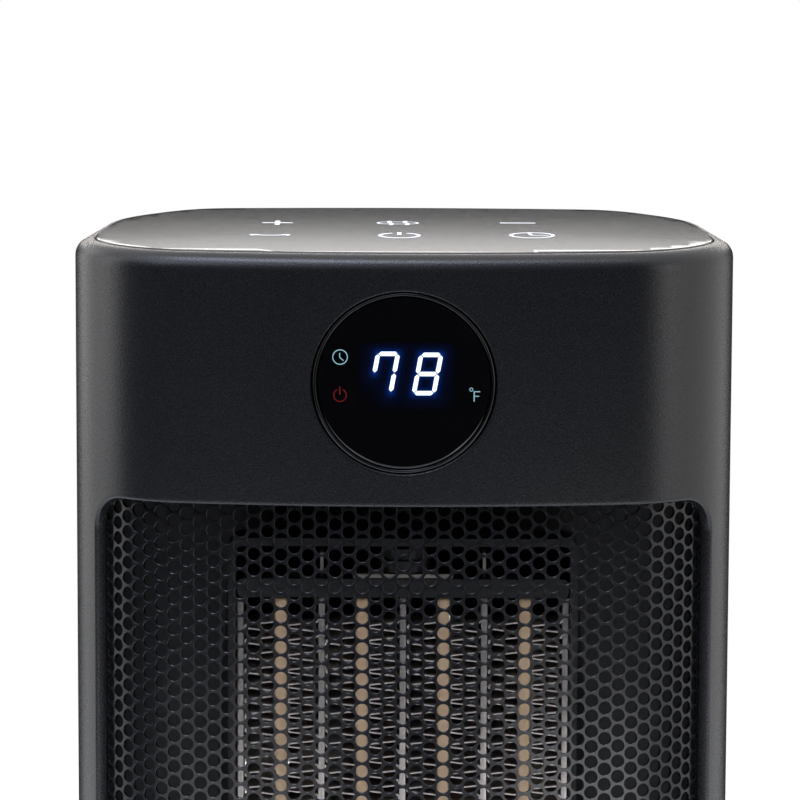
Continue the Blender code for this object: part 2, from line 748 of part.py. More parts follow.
def wrapped_sheet(flat):
    """Give a flat pattern in (run, height) its thickness, round the front."""
    bm = bmesh.new()
    faces = {}
    for vert in flat.verts:
        run, height = vert.co.x, vert.co.y
        faces[vert.index] = (
            bm.verts.new(on_front(run, height, SHEET_INSET)),
            bm.verts.new(on_front(run, height, SHEET_INSET + SHEET_THICKNESS)))
    for face in flat.faces:
        bm.faces.new([faces[vert.index][0] for vert in face.verts])
        bm.faces.new([faces[vert.index][1] for vert in reversed(face.verts)])
    for edge in flat.edges:
        if edge.is_boundary:
            first, second = (faces[vert.index] for vert in edge.verts)
            bm.faces.new((first[0], second[0], second[1], first[1]))
    flat.free()
    return bm


def punched_flat(columns, shift):
    """Flat pattern of some columns in (run, height), one hexagon cell a hole."""
    flat = bmesh.new()
    half_run = WINDOW_ARC / 2 + SHEET_OVERLAP
    low = WINDOW_BOTTOM - SHEET_OVERLAP
    high = WINDOW_TOP + SHEET_OVERLAP
    cell = PUNCH_PITCH / math.sqrt(3)
    hole = PUNCH_WIDTH / math.sqrt(3)
    rows = math.ceil((high - low) / PUNCH_PITCH) + 1
    for column in columns:
        x = column * 1.5 * cell + shift
        drop = PUNCH_PITCH / 2 if column % 2 else 0
        for row in range(-1, rows + 1):
            y = high - row * PUNCH_PITCH - drop
            inside_x = abs(x) + hole < half_run - SHEET_BORDER
            inside_y = low + SHEET_BORDER < y - hole and y + hole < high - SHEET_BORDER
            outer = hexagon(flat, x, y, cell)
            if inside_x and inside_y:
                inner = hexagon(flat, x, y, hole)
                for i in range(6):
                    j = (i + 1) % 6
                    flat.faces.new((outer[i], outer[j], inner[j], inner[i]))
            else:
                flat.faces.new(outer)
    bmesh.ops.remove_doubles(flat, verts=flat.verts, dist=WELD)
    for place, direction in (((half_run, 0, 0), (1, 0, 0)), ((-half_run, 0, 0), (-1, 0, 0)),
                             ((0, high, 0), (0, 1, 0)), ((0, low, 0), (0, -1, 0))):
        geometry = flat.verts[:] + flat.edges[:] + flat.faces[:]
        bmesh.ops.bisect_plane(flat, geom=geometry, plane_co=place, plane_no=direction,
                               clear_outer=True, dist=WELD)
    flat.verts.index_update()
    return flat


def hexagon(bm, x, y, radius):
    """Six points of a cell with its flat sides above and below."""
    return [bm.verts.new((x + radius * math.cos(k * math.pi / 3),
                          y + radius * math.sin(k * math.pi / 3), 0)) for k in range(6)]


def make_display(bezel_look, lens_look, board_look, digit_look, parent):
    face = FRONT_Y + DISPLAY_PROUD
    centre = (0, face, DISPLAY_Z)
    bore = DISPLAY_RADIUS - BEZEL_WALL
    flange_front = front_face_y(DISPLAY_RADIUS + BEZEL_FLANGE, SHELL_WALL) + GAP - face
    seat = LENS_THICKNESS + GAP
    ledge = bore - LENS_SEAT
    profile = [
        (DISPLAY_RADIUS, 0), (DISPLAY_RADIUS, flange_front),
        (DISPLAY_RADIUS + BEZEL_FLANGE, flange_front),
        (DISPLAY_RADIUS + BEZEL_FLANGE, flange_front + FLANGE_THICKNESS),
        (DISPLAY_RADIUS, flange_front + FLANGE_THICKNESS),
        (DISPLAY_RADIUS, BEZEL_LENGTH), (ledge, BEZEL_LENGTH), (ledge, seat),
        (bore, seat), (bore, 0),
    ]
    piece("display_bezel", turned(profile, centre, "Y"), bezel_look, parent)
    lens = disc(centre, bore - GAP, 0, LENS_THICKNESS, "Y")
    piece("display_lens", lens, lens_look, parent)
    board_front = face + BEZEL_LENGTH + GAP
    half_x = DISPLAY_BOARD_WIDTH / 2
    half_z = DISPLAY_BOARD_HEIGHT / 2
    board = box((-half_x, board_front, DISPLAY_Z - half_z),
                (half_x, board_front + BOARD_THICKNESS, DISPLAY_Z + half_z))
    piece("display_board", board, board_look, parent)
    digits = box((-DIGIT_WIDTH / 2, face + seat + GAP, DISPLAY_Z - DIGIT_HEIGHT / 2),
                 (DIGIT_WIDTH / 2, board_front - GAP, DISPLAY_Z + DIGIT_HEIGHT / 2))
    piece("digit_module", digits, digit_look, parent)


def rail_places():
    """Middle of each side rail, left to right."""
    return [(i - CORE_COUNT / 2) * CORE_PITCH for i in range(CORE_COUNT + 1)]


def core_places():
    """Middle of each ceramic core, left to right."""
    return [(i - (CORE_COUNT - 1) / 2) * CORE_PITCH for i in range(CORE_COUNT)]


def make_heating_element(rail_look, core_look, holder_look, tab_look, parent):
    for number, x in enumerate(rail_places(), 1):
        bm = box((x - RAIL_WIDTH / 2, PTC_FRONT, PTC_BOTTOM),
                 (x + RAIL_WIDTH / 2, PTC_BACK, PTC_TOP))
        for side in (-1, 1):
            near = x + side * (RAIL_WIDTH / 2 - FIN_BRAZE)
            far = x + side * (CORE_PITCH / 2 - CORE_WIDTH / 2 - GAP)
            if abs(far) < PTC_HALF:
                bm = fuse(bm, fin_pack(near, far))
        piece(f"ptc_rail_{number}", bm, rail_look, parent)
    for number, x in enumerate(core_places(), 1):
        core = box((x - CORE_WIDTH / 2, PTC_FRONT, PTC_BOTTOM),
                   (x + CORE_WIDTH / 2, PTC_BACK, PTC_TOP))
        piece(f"ptc_core_{number}", core, core_look, parent)
    for name, low, high in (("ptc_top_holder", PTC_TOP + GAP, PTC_TOP + GAP + HOLDER_HEIGHT),
                            ("ptc_bottom_holder", PTC_BOTTOM - GAP - HOLDER_HEIGHT,
                             PTC_BOTTOM - GAP)):
        outline = round_rectangle((0, (low + high) / 2), 2 * PTC_HALF, high - low,
                                  MOUTH_CORNER)
        holder = prism(outline, PTC_FRONT - HOLDER_LIP, PTC_BACK, "Y")
        if name == "ptc_top_holder":
            holder = cut(holder, *[terminal(x, GAP) for x in terminal_places()])
        piece(name, holder, holder_look, parent)
    for number, x in enumerate(terminal_places(), 1):
        piece(f"ptc_terminal_{number}", terminal(x, 0), tab_look, parent)


def terminal_places():
    """Flat connectors stand over every second rail."""
    return rail_places()[1::2]


def terminal(x, margin):
    """One upright flat connector, or the slot for it when given a margin."""
    middle = (PTC_FRONT + PTC_BACK) / 2
    low = PTC_TOP + GAP - (OVERRUN if margin else 0)
    return box((x - TERMINAL_METAL / 2 - margin, middle - TERMINAL_WIDTH / 2 - margin, low),
               (x + TERMINAL_METAL / 2 + margin, middle + TERMINAL_WIDTH / 2 + margin,
                PTC_TOP + GAP + TERMINAL_HEIGHT + (OVERRUN if margin else 0)))


def fin_pack(x0, x1):
    """A corrugated aluminium strip that fills one bay from bottom to top."""
    left, right = min(x0, x1), max(x0, x1)
    low = PTC_BOTTOM + GAP
    fold = (PTC_TOP - GAP - low) / FIN_FOLDS
    front = PTC_FRONT + GAP
    back = PTC_BACK - GAP
    rings = []
    for i in range(FIN_FOLDS + 1):
        x = left if i % 2 else right - FIN_METAL
        z = low + i * fold
        rings.append([(x, front, z), (x + FIN_METAL, front, z), (x + FIN_METAL, back, z),
                      (x, back, z)])
    return loft(rings)


def make_overheat_cutout(bracket_look, can_look, parent):
    """Bracket lying on the top holder, with the snap-disc thermostat on it."""
    foot = PTC_TOP + GAP + HOLDER_HEIGHT + GAP
    bracket = box((-BRACKET_WIDTH / 2, PTC_FRONT - HOLDER_LIP, foot),
                  (BRACKET_WIDTH / 2, PTC_BACK, foot + BRACKET_METAL))
    piece("cutout_bracket", bracket, bracket_look, parent)
    neck = CUTOUT_LENGTH / 2
    profile = [(CUTOUT_RADIUS, 0), (CUTOUT_RADIUS, neck), (CUTOUT_RADIUS - FIN_METAL, neck),
               (CUTOUT_RADIUS - FIN_METAL, CUTOUT_LENGTH)]
    can = turned(profile, (0, (PTC_FRONT + PTC_BACK) / 2, foot + BRACKET_METAL + GAP),
                 steps=SMALL_STEPS, closed=False)
    piece("thermal_cutout", can, can_look, parent)


def mouth_ring(y, margin):
    """Rounded rectangle round the heating element, in a plane facing front."""
    top = (PTC_TOP + GAP + HOLDER_HEIGHT + GAP + BRACKET_METAL + GAP + CUTOUT_LENGTH
           + MOUTH_HEADROOM)
    bottom = PTC_BOTTOM - GAP - HOLDER_HEIGHT - GAP
    outline = round_rectangle((0, (top + bottom) / 2), 2 * (PTC_HALF + GAP + margin),
                              top - bottom + 2 * margin, MOUTH_CORNER + margin,
                              ROUND_STEPS // 4 - 1)
    return [Vector((x, y, z)) for x, z in outline]


def bore_ring(y, radius):
    """Circle round the fan, with its points matched to those of the mouth."""
    turn = 2 * math.pi / ROUND_STEPS
    return [Vector((radius * math.cos((i + 0.5) * turn), y,
                    PTC_MIDDLE_Z + radius * math.sin((i + 0.5) * turn)))
            for i in range(ROUND_STEPS)]


def duct_body(margin, reach):
    """The duct as a solid: rectangular mouth, throat and round fan bore."""
    return loft([
        mouth_ring(PTC_FRONT - MOUTH_LIP - reach, margin),
        mouth_ring(PTC_BACK, margin),
        bore_ring(RING_FRONT, RING_BORE + margin),
        bore_ring(RING_BACK + reach, RING_BORE + margin),
    ])


def half_width_at(y, inset):
    """Half the width of the body plan at a depth in front of its side flats."""
    if y >= FRONT_CORNER_Y:
        return HALF_WIDTH - inset
    rise = math.sqrt((FRONT_CORNER - inset) ** 2 - (FRONT_CORNER_Y - y) ** 2)
    return HALF_WIDTH - FRONT_CORNER + rise


def make_chassis_plate(look, parent):
    """Plate across the body with the screw posts and the standoffs of the board."""
    half = half_width_at(PLATE_FRONT, SHELL_WALL + GAP)
    low = FLOOR_TOP + GAP
    high = BODY_TOP - PLATE_TOP_DROP
    outline = round_rectangle((0, (low + high) / 2), 2 * half, high - low, PLATE_CORNER)
    bm = prism(outline, PLATE_FRONT, RING_FRONT, "Y")
    root = -PLATE_THICKNESS / 2
    for x, z in screw_places():
        tip = back_face_y(abs(x) + POST_RADIUS, SHELL_WALL) - GAP
        bm = fuse(bm, disc((x, RING_FRONT, z), POST_RADIUS, root, tip - RING_FRONT, "Y",
                           SMALL_STEPS))
        bm = cut(bm, disc((x, tip, z), SCREW_RADIUS + GAP, -SCREW_LENGTH - GAP, OVERRUN, "Y", 8))
    for x, z in standoff_places():
        bm = fuse(bm, disc((x, RING_FRONT, z), STANDOFF_RADIUS, root, STANDOFF_LENGTH, "Y",
                           SMALL_STEPS))
    bm = cut(bm, duct_body(DUCT_WALL + GAP, OVERRUN))
    piece("chassis_plate", bm, look, parent)


def make_air_duct(look, parent):
    """Mouth round the element, throat, and ring round the fan, with a collar."""
    low = RING_FRONT + GAP
    inner = RING_BORE + DUCT_WALL / 2
    outer = RING_BORE + DUCT_WALL + DUCT_FLANGE
    collar = turned([(inner, low), (outer, low), (outer, low + FLANGE_WALL),
                     (inner, low + FLANGE_WALL)], (0, 0, PTC_MIDDLE_Z), "Y")
    bm = fuse(duct_body(DUCT_WALL, 0), collar)
    bm = cut(bm, duct_body(0, OVERRUN))
    piece("air_duct", bm, look, parent)


def standoff_places():
    """Corners of the control board that rest on the chassis plate."""
    dx = CONTROL_WIDTH / 2 - STANDOFF_INSET
    dz = CONTROL_HEIGHT / 2 - STANDOFF_INSET
    return [(sx * dx, CONTROL_MIDDLE + sz * dz) for sx in (-1, 1) for sz in (-1, 1)]


def make_fan(blade_look, shaft_look, axis):
    centre = Vector((0, FAN_Y, PTC_MIDDLE_Z))
    half = HUB_LENGTH / 2
    bore = SHAFT_RADIUS + GAP
    inner = HUB_RADIUS - HUB_WALL
    profile = [
        (bore, -half), (HUB_RADIUS - HUB_EDGE, -half), (HUB_RADIUS, -half + HUB_EDGE),
        (HUB_RADIUS, half), (inner, half), (inner, -half + HUB_WALL),
        (HUB_BOSS, -half + HUB_WALL), (HUB_BOSS, half), (bore, half),
    ]
    bm = turned(profile, centre, "Y")
    for k in range(BLADE_COUNT):
        bm = fuse(bm, blade(centre, 2 * math.pi * k / BLADE_COUNT))
    piece("fan_impeller", bm, blade_look, axis)
    shaft = disc(centre, SHAFT_RADIUS, -half, MOTOR_FRONT + SHAFT_DEPTH - FAN_Y, "Y", SMALL_STEPS)
    piece("fan_shaft", shaft, shaft_look, axis)


def blade(centre, start):
    """One twisted blade, lofted through sections that lie on cylinders."""
    root = HUB_RADIUS - HUB_WALL / 2
    along_shares = (-0.5, 0.0, 0.5)
    rings = []
    for i in range(BLADE_STATIONS):
        share = i / (BLADE_STATIONS - 1)
        radius = root + (FAN_RADIUS - root) * share
        pitch = BLADE_ROOT_PITCH + (BLADE_TIP_PITCH - BLADE_ROOT_PITCH) * share
        chord = BLADE_ROOT_CHORD + (BLADE_TIP_CHORD - BLADE_ROOT_CHORD) * share
        ring = []
        for side in (-1, 1):
            for along in along_shares[::-side]:
                bow = BLADE_CAMBER * (1 - 4 * along * along) + side * BLADE_THICKNESS / 2
                around = along * chord * math.cos(pitch) - bow * math.sin(pitch)
                deep = along * chord * math.sin(pitch) + bow * math.cos(pitch)
                angle = start + around / radius
                ring.append(centre + Vector((radius * math.cos(angle), deep,
                                             radius * math.sin(angle))))
        rings.append(ring)
    return loft(rings)


def make_fan_motor(motor_look, spider_look, parent):
    bore = SHAFT_RADIUS + GAP
    boss = -SPIDER_THICKNESS - GAP
    edge = MOTOR_RADIUS - MOTOR_EDGE
    profile = [
        (bore, SHAFT_DEPTH + GAP), (bore, boss), (MOTOR_BOSS_RADIUS, boss),
        (MOTOR_BOSS_RADIUS, 0), (edge, 0), (MOTOR_RADIUS, MOTOR_EDGE),
        (MOTOR_RADIUS, MOTOR_LENGTH - MOTOR_EDGE), (edge, MOTOR_LENGTH),
        (MOTOR_CAP_RADIUS, MOTOR_LENGTH), (MOTOR_CAP_RADIUS, MOTOR_LENGTH + MOTOR_CAP_LENGTH),
    ]
    motor = turned(profile, (0, MOTOR_FRONT, PTC_MIDDLE_Z), "Y", closed=False)
    piece("fan_motor", motor, motor_look, parent)
    low = RING_BACK + GAP
    high = low + SPIDER_THICKNESS
    reach = RING_BORE + DUCT_WALL - SPIDER_LUG
    bm = disc((0, 0, PTC_MIDDLE_Z), SPIDER_HUB, low, high, "Y")
    for k in range(SPIDER_ARMS):
        angle = math.pi / 4 + 2 * math.pi * k / SPIDER_ARMS
        outward = Vector((math.cos(angle), math.sin(angle)))
        across = Vector((-math.sin(angle), math.cos(angle))) * SPIDER_ARM / 2
        near = outward * (SPIDER_HUB - SPIDER_ARM / 2)
        far = outward * reach
        corners = [near - across, far - across, far + across, near + across]
        outline = [(point.x, point.y + PTC_MIDDLE_Z) for point in corners]
        lug = disc((far.x, 0, far.y + PTC_MIDDLE_Z), SPIDER_LUG, low, high, "Y", SMALL_STEPS)
        bm = fuse(bm, prism(outline, low, high, "Y"), lug)
    bm = cut(bm, disc((0, low, PTC_MIDDLE_Z), MOTOR_BOSS_RADIUS + GAP, -OVERRUN, OVERRUN, "Y"))
    piece("motor_spider", bm, spider_look, parent)


def make_control_board(board_look, relay_look, can_look, sink_look, parent):
    front = CONTROL_BACK - BOARD_THICKNESS
    half_x = CONTROL_WIDTH / 2
    half_z = CONTROL_HEIGHT / 2
    board = box((-half_x, front, CONTROL_MIDDLE - half_z),
                (half_x, CONTROL_BACK, CONTROL_MIDDLE + half_z))
    piece("control_board", board, board_look, parent)
    seat = CONTROL_BACK + GAP
    for k in range(RELAY_COUNT):
        x = RELAY_X + k * RELAY_SPACING
        relay = box((x - RELAY_WIDTH / 2, seat, CONTROL_MIDDLE - RELAY_HEIGHT / 2),
                    (x + RELAY_WIDTH / 2, seat + RELAY_DEPTH, CONTROL_MIDDLE + RELAY_HEIGHT / 2))
        piece(f"power_relay_{k + 1}", relay, relay_look, parent)
    profile = [(CAPACITOR_RADIUS, 0), (CAPACITOR_RADIUS, CAPACITOR_LENGTH - CAPACITOR_EDGE),
               (CAPACITOR_RADIUS - CAPACITOR_EDGE, CAPACITOR_LENGTH)]
    can = turned(profile, (CAPACITOR_X, seat, CONTROL_MIDDLE), "Y", SMALL_STEPS, closed=False)
    piece("filter_capacitor", can, can_look, parent)
    piece("heat_sink", heat_sink(seat), sink_look, parent)


def heat_sink(seat):
    """Extruded comb: a base with upright fins, cut to length."""
    left = SINK_X - SINK_WIDTH / 2
    step = (SINK_WIDTH - SINK_FIN) / (SINK_FINS - 1)
    outline = [(left + SINK_WIDTH, seat), (left, seat)]
    for k in range(SINK_FINS):
        x = left + k * step
        if k:
            outline.append((x, seat + SINK_BASE))
        outline += [(x, seat + SINK_DEPTH), (x + SINK_FIN, seat + SINK_DEPTH)]
        if k < SINK_FINS - 1:
            outline.append((x + SINK_FIN, seat + SINK_BASE))
    half = SINK_HEIGHT / 2
    return prism(outline, CONTROL_MIDDLE - half, CONTROL_MIDDLE + half)


def make_power_switch(frame_look, rocker_look, parent, axis):
    face = POCKET_FLOOR + GAP + FRAME_FLANGE
    well = ROCKER_SINK + ROCKER_KEEL + ROCKER_SWING_ROOM
    centre = (SWITCH_X, POCKET_MIDDLE)
    flange = prism(round_rectangle(centre, FRAME_WIDTH, FRAME_HEIGHT, FRAME_FLANGE),
                   POCKET_FLOOR + GAP, face, "Y")
    body = prism(round_rectangle(centre, SWITCH_BODY_WIDTH, SWITCH_BODY_HEIGHT, GAP, 1),
                 face - SWITCH_BODY_DEPTH, face - FRAME_FLANGE / 2, "Y")
    opening = prism(round_rectangle(centre, SWITCH_BODY_WIDTH - 2 * SWITCH_WELL_WALL,
                                    2 * (ROCKER_HALF + ROCKER_SWING_ROOM), GAP, 1),
                    face - well, face + OVERRUN, "Y")
    piece("switch_frame", cut(fuse(flange, body), opening), frame_look, parent)
    outline = [
        (ROCKER_TOP, ROCKER_HALF), (ROCKER_TOP - ROCKER_DISH, 0), (ROCKER_TOP, -ROCKER_HALF),
        (-ROCKER_SIDE, -ROCKER_HALF), (-ROCKER_KEEL, 0), (-ROCKER_SIDE, ROCKER_HALF)]
    half = SWITCH_BODY_WIDTH / 2 - SWITCH_WELL_WALL - GAP
    bm = prism(outline, -half, half, "X")
    bmesh.ops.rotate(bm, verts=bm.verts, cent=(0, 0, 0), matrix=Matrix.Rotation(-ROCKER_TILT, 3, "X"))
    bmesh.ops.translate(bm, verts=bm.verts, vec=world_place(axis))
    piece("power_rocker", bm, rocker_look, axis)


def rocker_pivot():
    """Middle of the rocker's axis."""
    face = POCKET_FLOOR + GAP + FRAME_FLANGE
    return (SWITCH_X, face - ROCKER_SINK, POCKET_MIDDLE)


def make_cord_gland(look, nut_look, parent):
    """Bush for the supply lead, held from inside by a nut."""
    seat = POCKET_FLOOR + GAP
    profile = [
        (GLAND_BORE, GLAND_FLANGE), (GLAND_FLANGE_RADIUS - GLAND_FLANGE / 2, GLAND_FLANGE),
        (GLAND_FLANGE_RADIUS, GLAND_FLANGE / 2), (GLAND_FLANGE_RADIUS, 0), (GLAND_RADIUS, 0),
        (GLAND_RADIUS, -GLAND_LENGTH), (GLAND_BORE, -GLAND_LENGTH),
    ]
    place = (GLAND_X, seat, POCKET_MIDDLE)
    piece("cord_gland", turned(profile, place, "Y", SMALL_STEPS), look, parent)
    inner = POCKET_FLOOR - SHELL_WALL - GAP
    axis = (GLAND_X, 0, POCKET_MIDDLE)
    nut = cut(disc(axis, GLAND_NUT_RADIUS, inner - GLAND_NUT, inner, "Y", 6),
              disc(axis, GLAND_RADIUS + GAP, inner - GLAND_NUT - OVERRUN, inner + OVERRUN, "Y", SMALL_STEPS))
    piece("gland_nut", nut, nut_look, parent)


def pinion_centre():
    """Axis of the swing pinion, seen from above."""
    return (PINION_DISTANCE * math.cos(PINION_ANGLE), PINION_DISTANCE * math.sin(PINION_ANGLE))


def make_body_floor(floor_look, retainer_look, parent):
    """Floor of the swinging body; its hub turns in the base."""
    under = BASE_TOP - BASE_WALL
    bm = prism(body_plan(SHELL_WALL + GAP), FLOOR_BOTTOM, FLOOR_TOP)
    bm = fuse(bm, disc((0, 0, 0), PIVOT_RADIUS, under, FLOOR_BOTTOM + FLOOR_THICKNESS / 2))
    x, y = pinion_centre()
    bm = cut(bm, disc((0, 0, 0), PIVOT_BORE, under - OVERRUN, FLOOR_TOP + OVERRUN),
             disc((x, y, 0), PINION_SHAFT + GAP, FLOOR_BOTTOM - OVERRUN, FLOOR_TOP + OVERRUN,
                  steps=SMALL_STEPS))
    piece("body_floor", bm, floor_look, parent)
    top = under - GAP
    low = top - RETAINER_THICKNESS
    ring = turned([(RETAINER_BORE, low), (RETAINER_RADIUS, low), (RETAINER_RADIUS, top),
                   (RETAINER_BORE, top)], (0, 0, 0))
    piece("pivot_retainer", ring, retainer_look, parent)


def flank(teeth, radius):
    """Half the angle that a tooth fills at a radius, on an involute flank."""
    pitch = GEAR_MODULE * teeth / 2
    base = pitch * math.cos(PRESSURE_ANGLE)
    half = (math.pi * GEAR_MODULE / 2 - GEAR_BACKLASH) / (2 * pitch)
    slope = math.acos(min(1.0, base / max(radius, base)))
    return (half + math.tan(PRESSURE_ANGLE) - PRESSURE_ANGLE) - (math.tan(slope) - slope)


def gear_outline(teeth, cut_teeth, facing):
    """Outline with cut_teeth teeth placed evenly about the direction facing."""
    pitch = GEAR_MODULE * teeth / 2
    foot = pitch - DEDENDUM_SHARE * GEAR_MODULE
    tip = pitch + ADDENDUM_SHARE * GEAR_MODULE
    radii = (foot, pitch - GEAR_MODULE / 2, pitch, tip)
    step = 2 * math.pi / teeth
    points = []
    for k in range(cut_teeth):
        middle = facing + (k - (cut_teeth - 1) / 2) * step
        for radius in radii:
            points.append((middle - flank(teeth, radius), radius))
        for radius in reversed(radii):
            points.append((middle + flank(teeth, radius), radius))
    start = facing + cut_teeth / 2 * step
    rest = 2 * math.pi - cut_teeth * step
    plain = round(rest / step)
    for k in range(1, plain):
        points.append((start + rest * k / plain, foot))
    return [(radius * math.cos(angle), radius * math.sin(angle)) for angle, radius in points]


def make_swing_gear(sector_look, pinion_look, motor_look, base, body, axis):
    low = BASE_TOP + GAP
    high = low + GEAR_WIDTH
    sector = prism(gear_outline(SECTOR_TEETH, SECTOR_CUT_TEETH, PINION_ANGLE), low, high)
    sector = cut(sector, disc((0, 0, 0), SECTOR_BORE, low - OVERRUN, high + OVERRUN))
    piece("gear_sector", sector, sector_look, base)
    x, y = pinion_centre()
    facing = PINION_ANGLE + math.pi + PINION_TEETH % 2 * math.pi / PINION_TEETH
    outline = [(x + px, y + py) for px, py in gear_outline(PINION_TEETH, PINION_TEETH, facing)]
    shaft_top = FLOOR_TOP + GAP + PINION_SHAFT_REACH
    pinion = fuse(prism(outline, low, high),
                  disc((x, y, 0), PINION_SHAFT, (low + high) / 2, shaft_top, steps=SMALL_STEPS))
    piece("swing_pinion", pinion, pinion_look, axis)
    seat = FLOOR_TOP + GAP
    bore = PINION_SHAFT + GAP
    edge = SWING_MOTOR_RADIUS - SWING_MOTOR_EDGE
    profile = [
        (bore, PINION_SHAFT_REACH + GAP), (bore, 0), (SWING_MOTOR_RADIUS, 0),
        (SWING_MOTOR_RADIUS, SWING_MOTOR_HEIGHT - SWING_MOTOR_EDGE),
        (edge, SWING_MOTOR_HEIGHT)]
    bm = turned(profile, (x, y, seat), closed=False)
    for side in (-1, 1):
        lug = disc((x + side * SWING_MOTOR_RADIUS, y, seat), SWING_MOTOR_LUG, 0,
                   SWING_MOTOR_LUG_HEIGHT, steps=SMALL_STEPS)
        bm = fuse(bm, lug)
    piece("swing_motor", bm, motor_look, body)


def make_base(shell_look, plate_look, foot_look, glide_look, base):
    shoulder = BASE_TOP_INSET - BASE_SHOULDER_INSET
    rings = [plan_ring(BASE_FOOT_INSET, BASE_BOTTOM)]
    for inset, height in arc((BASE_TOP_INSET, BASE_TOP - BASE_SHOULDER_DROP), shoulder,
                             math.pi, math.pi / 2, 3):
        rings.append(plan_ring(inset, height))
    ceiling = BASE_TOP - BASE_WALL
    cavity = loft([plan_ring(BASE_FOOT_INSET + BASE_WALL, BASE_BOTTOM - OVERRUN),
                   plan_ring(BASE_FOOT_INSET + BASE_WALL, BASE_BOTTOM + BASE_PLATE),
                   plan_ring(BASE_SHOULDER_INSET + BASE_WALL, ceiling)])
    bm = cut(loft(rings), cavity,
             disc((0, 0, 0), PIVOT_RADIUS + GAP, ceiling - OVERRUN, BASE_TOP + OVERRUN))
    plate_top = BASE_BOTTOM + BASE_PLATE
    for x, y in base_screw_places():
        bm = fuse(bm, disc((x, y, 0), POST_RADIUS, plate_top + GAP, ceiling + BASE_WALL / 2,
                           steps=SMALL_STEPS))
        bm = cut(bm, disc((x, y, 0), SCREW_RADIUS + GAP, plate_top - OVERRUN,
                          plate_top + SCREW_LENGTH, steps=8))
    piece("base_shell", bm, shell_look, base)

    bm = prism(body_plan(BASE_FOOT_INSET + BASE_WALL + GAP), BASE_BOTTOM, plate_top)
    bm = cut(bm, disc((TIP_X, TIP_Y, 0), PLUNGER_RADIUS + GAP, -OVERRUN, plate_top + OVERRUN,
                      steps=SMALL_STEPS))
    for x, y in base_screw_places():
        bm = cut(bm, disc((x, y, 0), SCREW_RADIUS + GAP, -OVERRUN, plate_top + OVERRUN, steps=8))
    piece("base_plate", bm, plate_look, base)

    for name, x, y in foot_places():
        profile = [(FOOT_RADIUS - FOOT_EDGE, 0), (FOOT_RADIUS, FOOT_EDGE),
                   (FOOT_RADIUS, FOOT_HEIGHT)]
        piece(name, turned(profile, (x, y, 0), steps=SMALL_STEPS, closed=False), foot_look, base)

    low = BASE_TOP + GAP
    high = FLOOR_BOTTOM - GAP
    glide = turned([(GLIDE_INNER, low), (GLIDE_INNER + GLIDE_WIDTH, low),
                    (GLIDE_INNER + GLIDE_WIDTH, high), (GLIDE_INNER, high)], (0, 0, 0))
    piece("glide_ring", glide, glide_look, base)


def base_screw_places():
    """Four screws that hold the base plate."""
    return [(sx * BASE_SCREW_X, sy * BASE_SCREW_Y) for sx in (-1, 1) for sy in (-1, 1)]


def foot_places():
    """Names and places of the four rubber feet."""
    return [(f"foot_{end}_{side}", sx * FOOT_X, sy * FOOT_Y)
            for sy, end in ((-1, "front"), (1, "rear"))
            for sx, side in ((-1, "left"), (1, "right"))]


def make_tip_over_switch(box_look, plunger_look, base, axis):
    collar_low = BASE_BOTTOM + BASE_PLATE + TIP_TRAVEL + GAP
    collar_high = collar_low + PLUNGER_COLLAR_HEIGHT
    top = TIP_LIFT + PLUNGER_LENGTH
    profile = [
        (PLUNGER_RADIUS - PLUNGER_TIP_ROUND, TIP_LIFT),
        (PLUNGER_RADIUS, TIP_LIFT + PLUNGER_TIP_ROUND), (PLUNGER_RADIUS, collar_low),
        (PLUNGER_COLLAR, collar_low), (PLUNGER_COLLAR, collar_high),
        (PLUNGER_RADIUS, collar_high), (PLUNGER_RADIUS, top)]
    plunger = turned(profile, (TIP_X, TIP_Y, 0), steps=SMALL_STEPS, closed=False)
    piece("tip_over_plunger", plunger, plunger_look, axis)
    ceiling = BASE_TOP - BASE_WALL - GAP
    floor = collar_high + GAP
    half_x = TIP_BOX_WIDTH / 2
    half_y = TIP_BOX_DEPTH / 2
    case = box((TIP_X - half_x, TIP_Y - half_y, floor), (TIP_X + half_x, TIP_Y + half_y, ceiling))
    case = cut(case, disc((TIP_X, TIP_Y, 0), PLUNGER_RADIUS + GAP, floor - OVERRUN, top + GAP,
                          steps=SMALL_STEPS))
    piece("tip_over_switch", case, box_look, base)


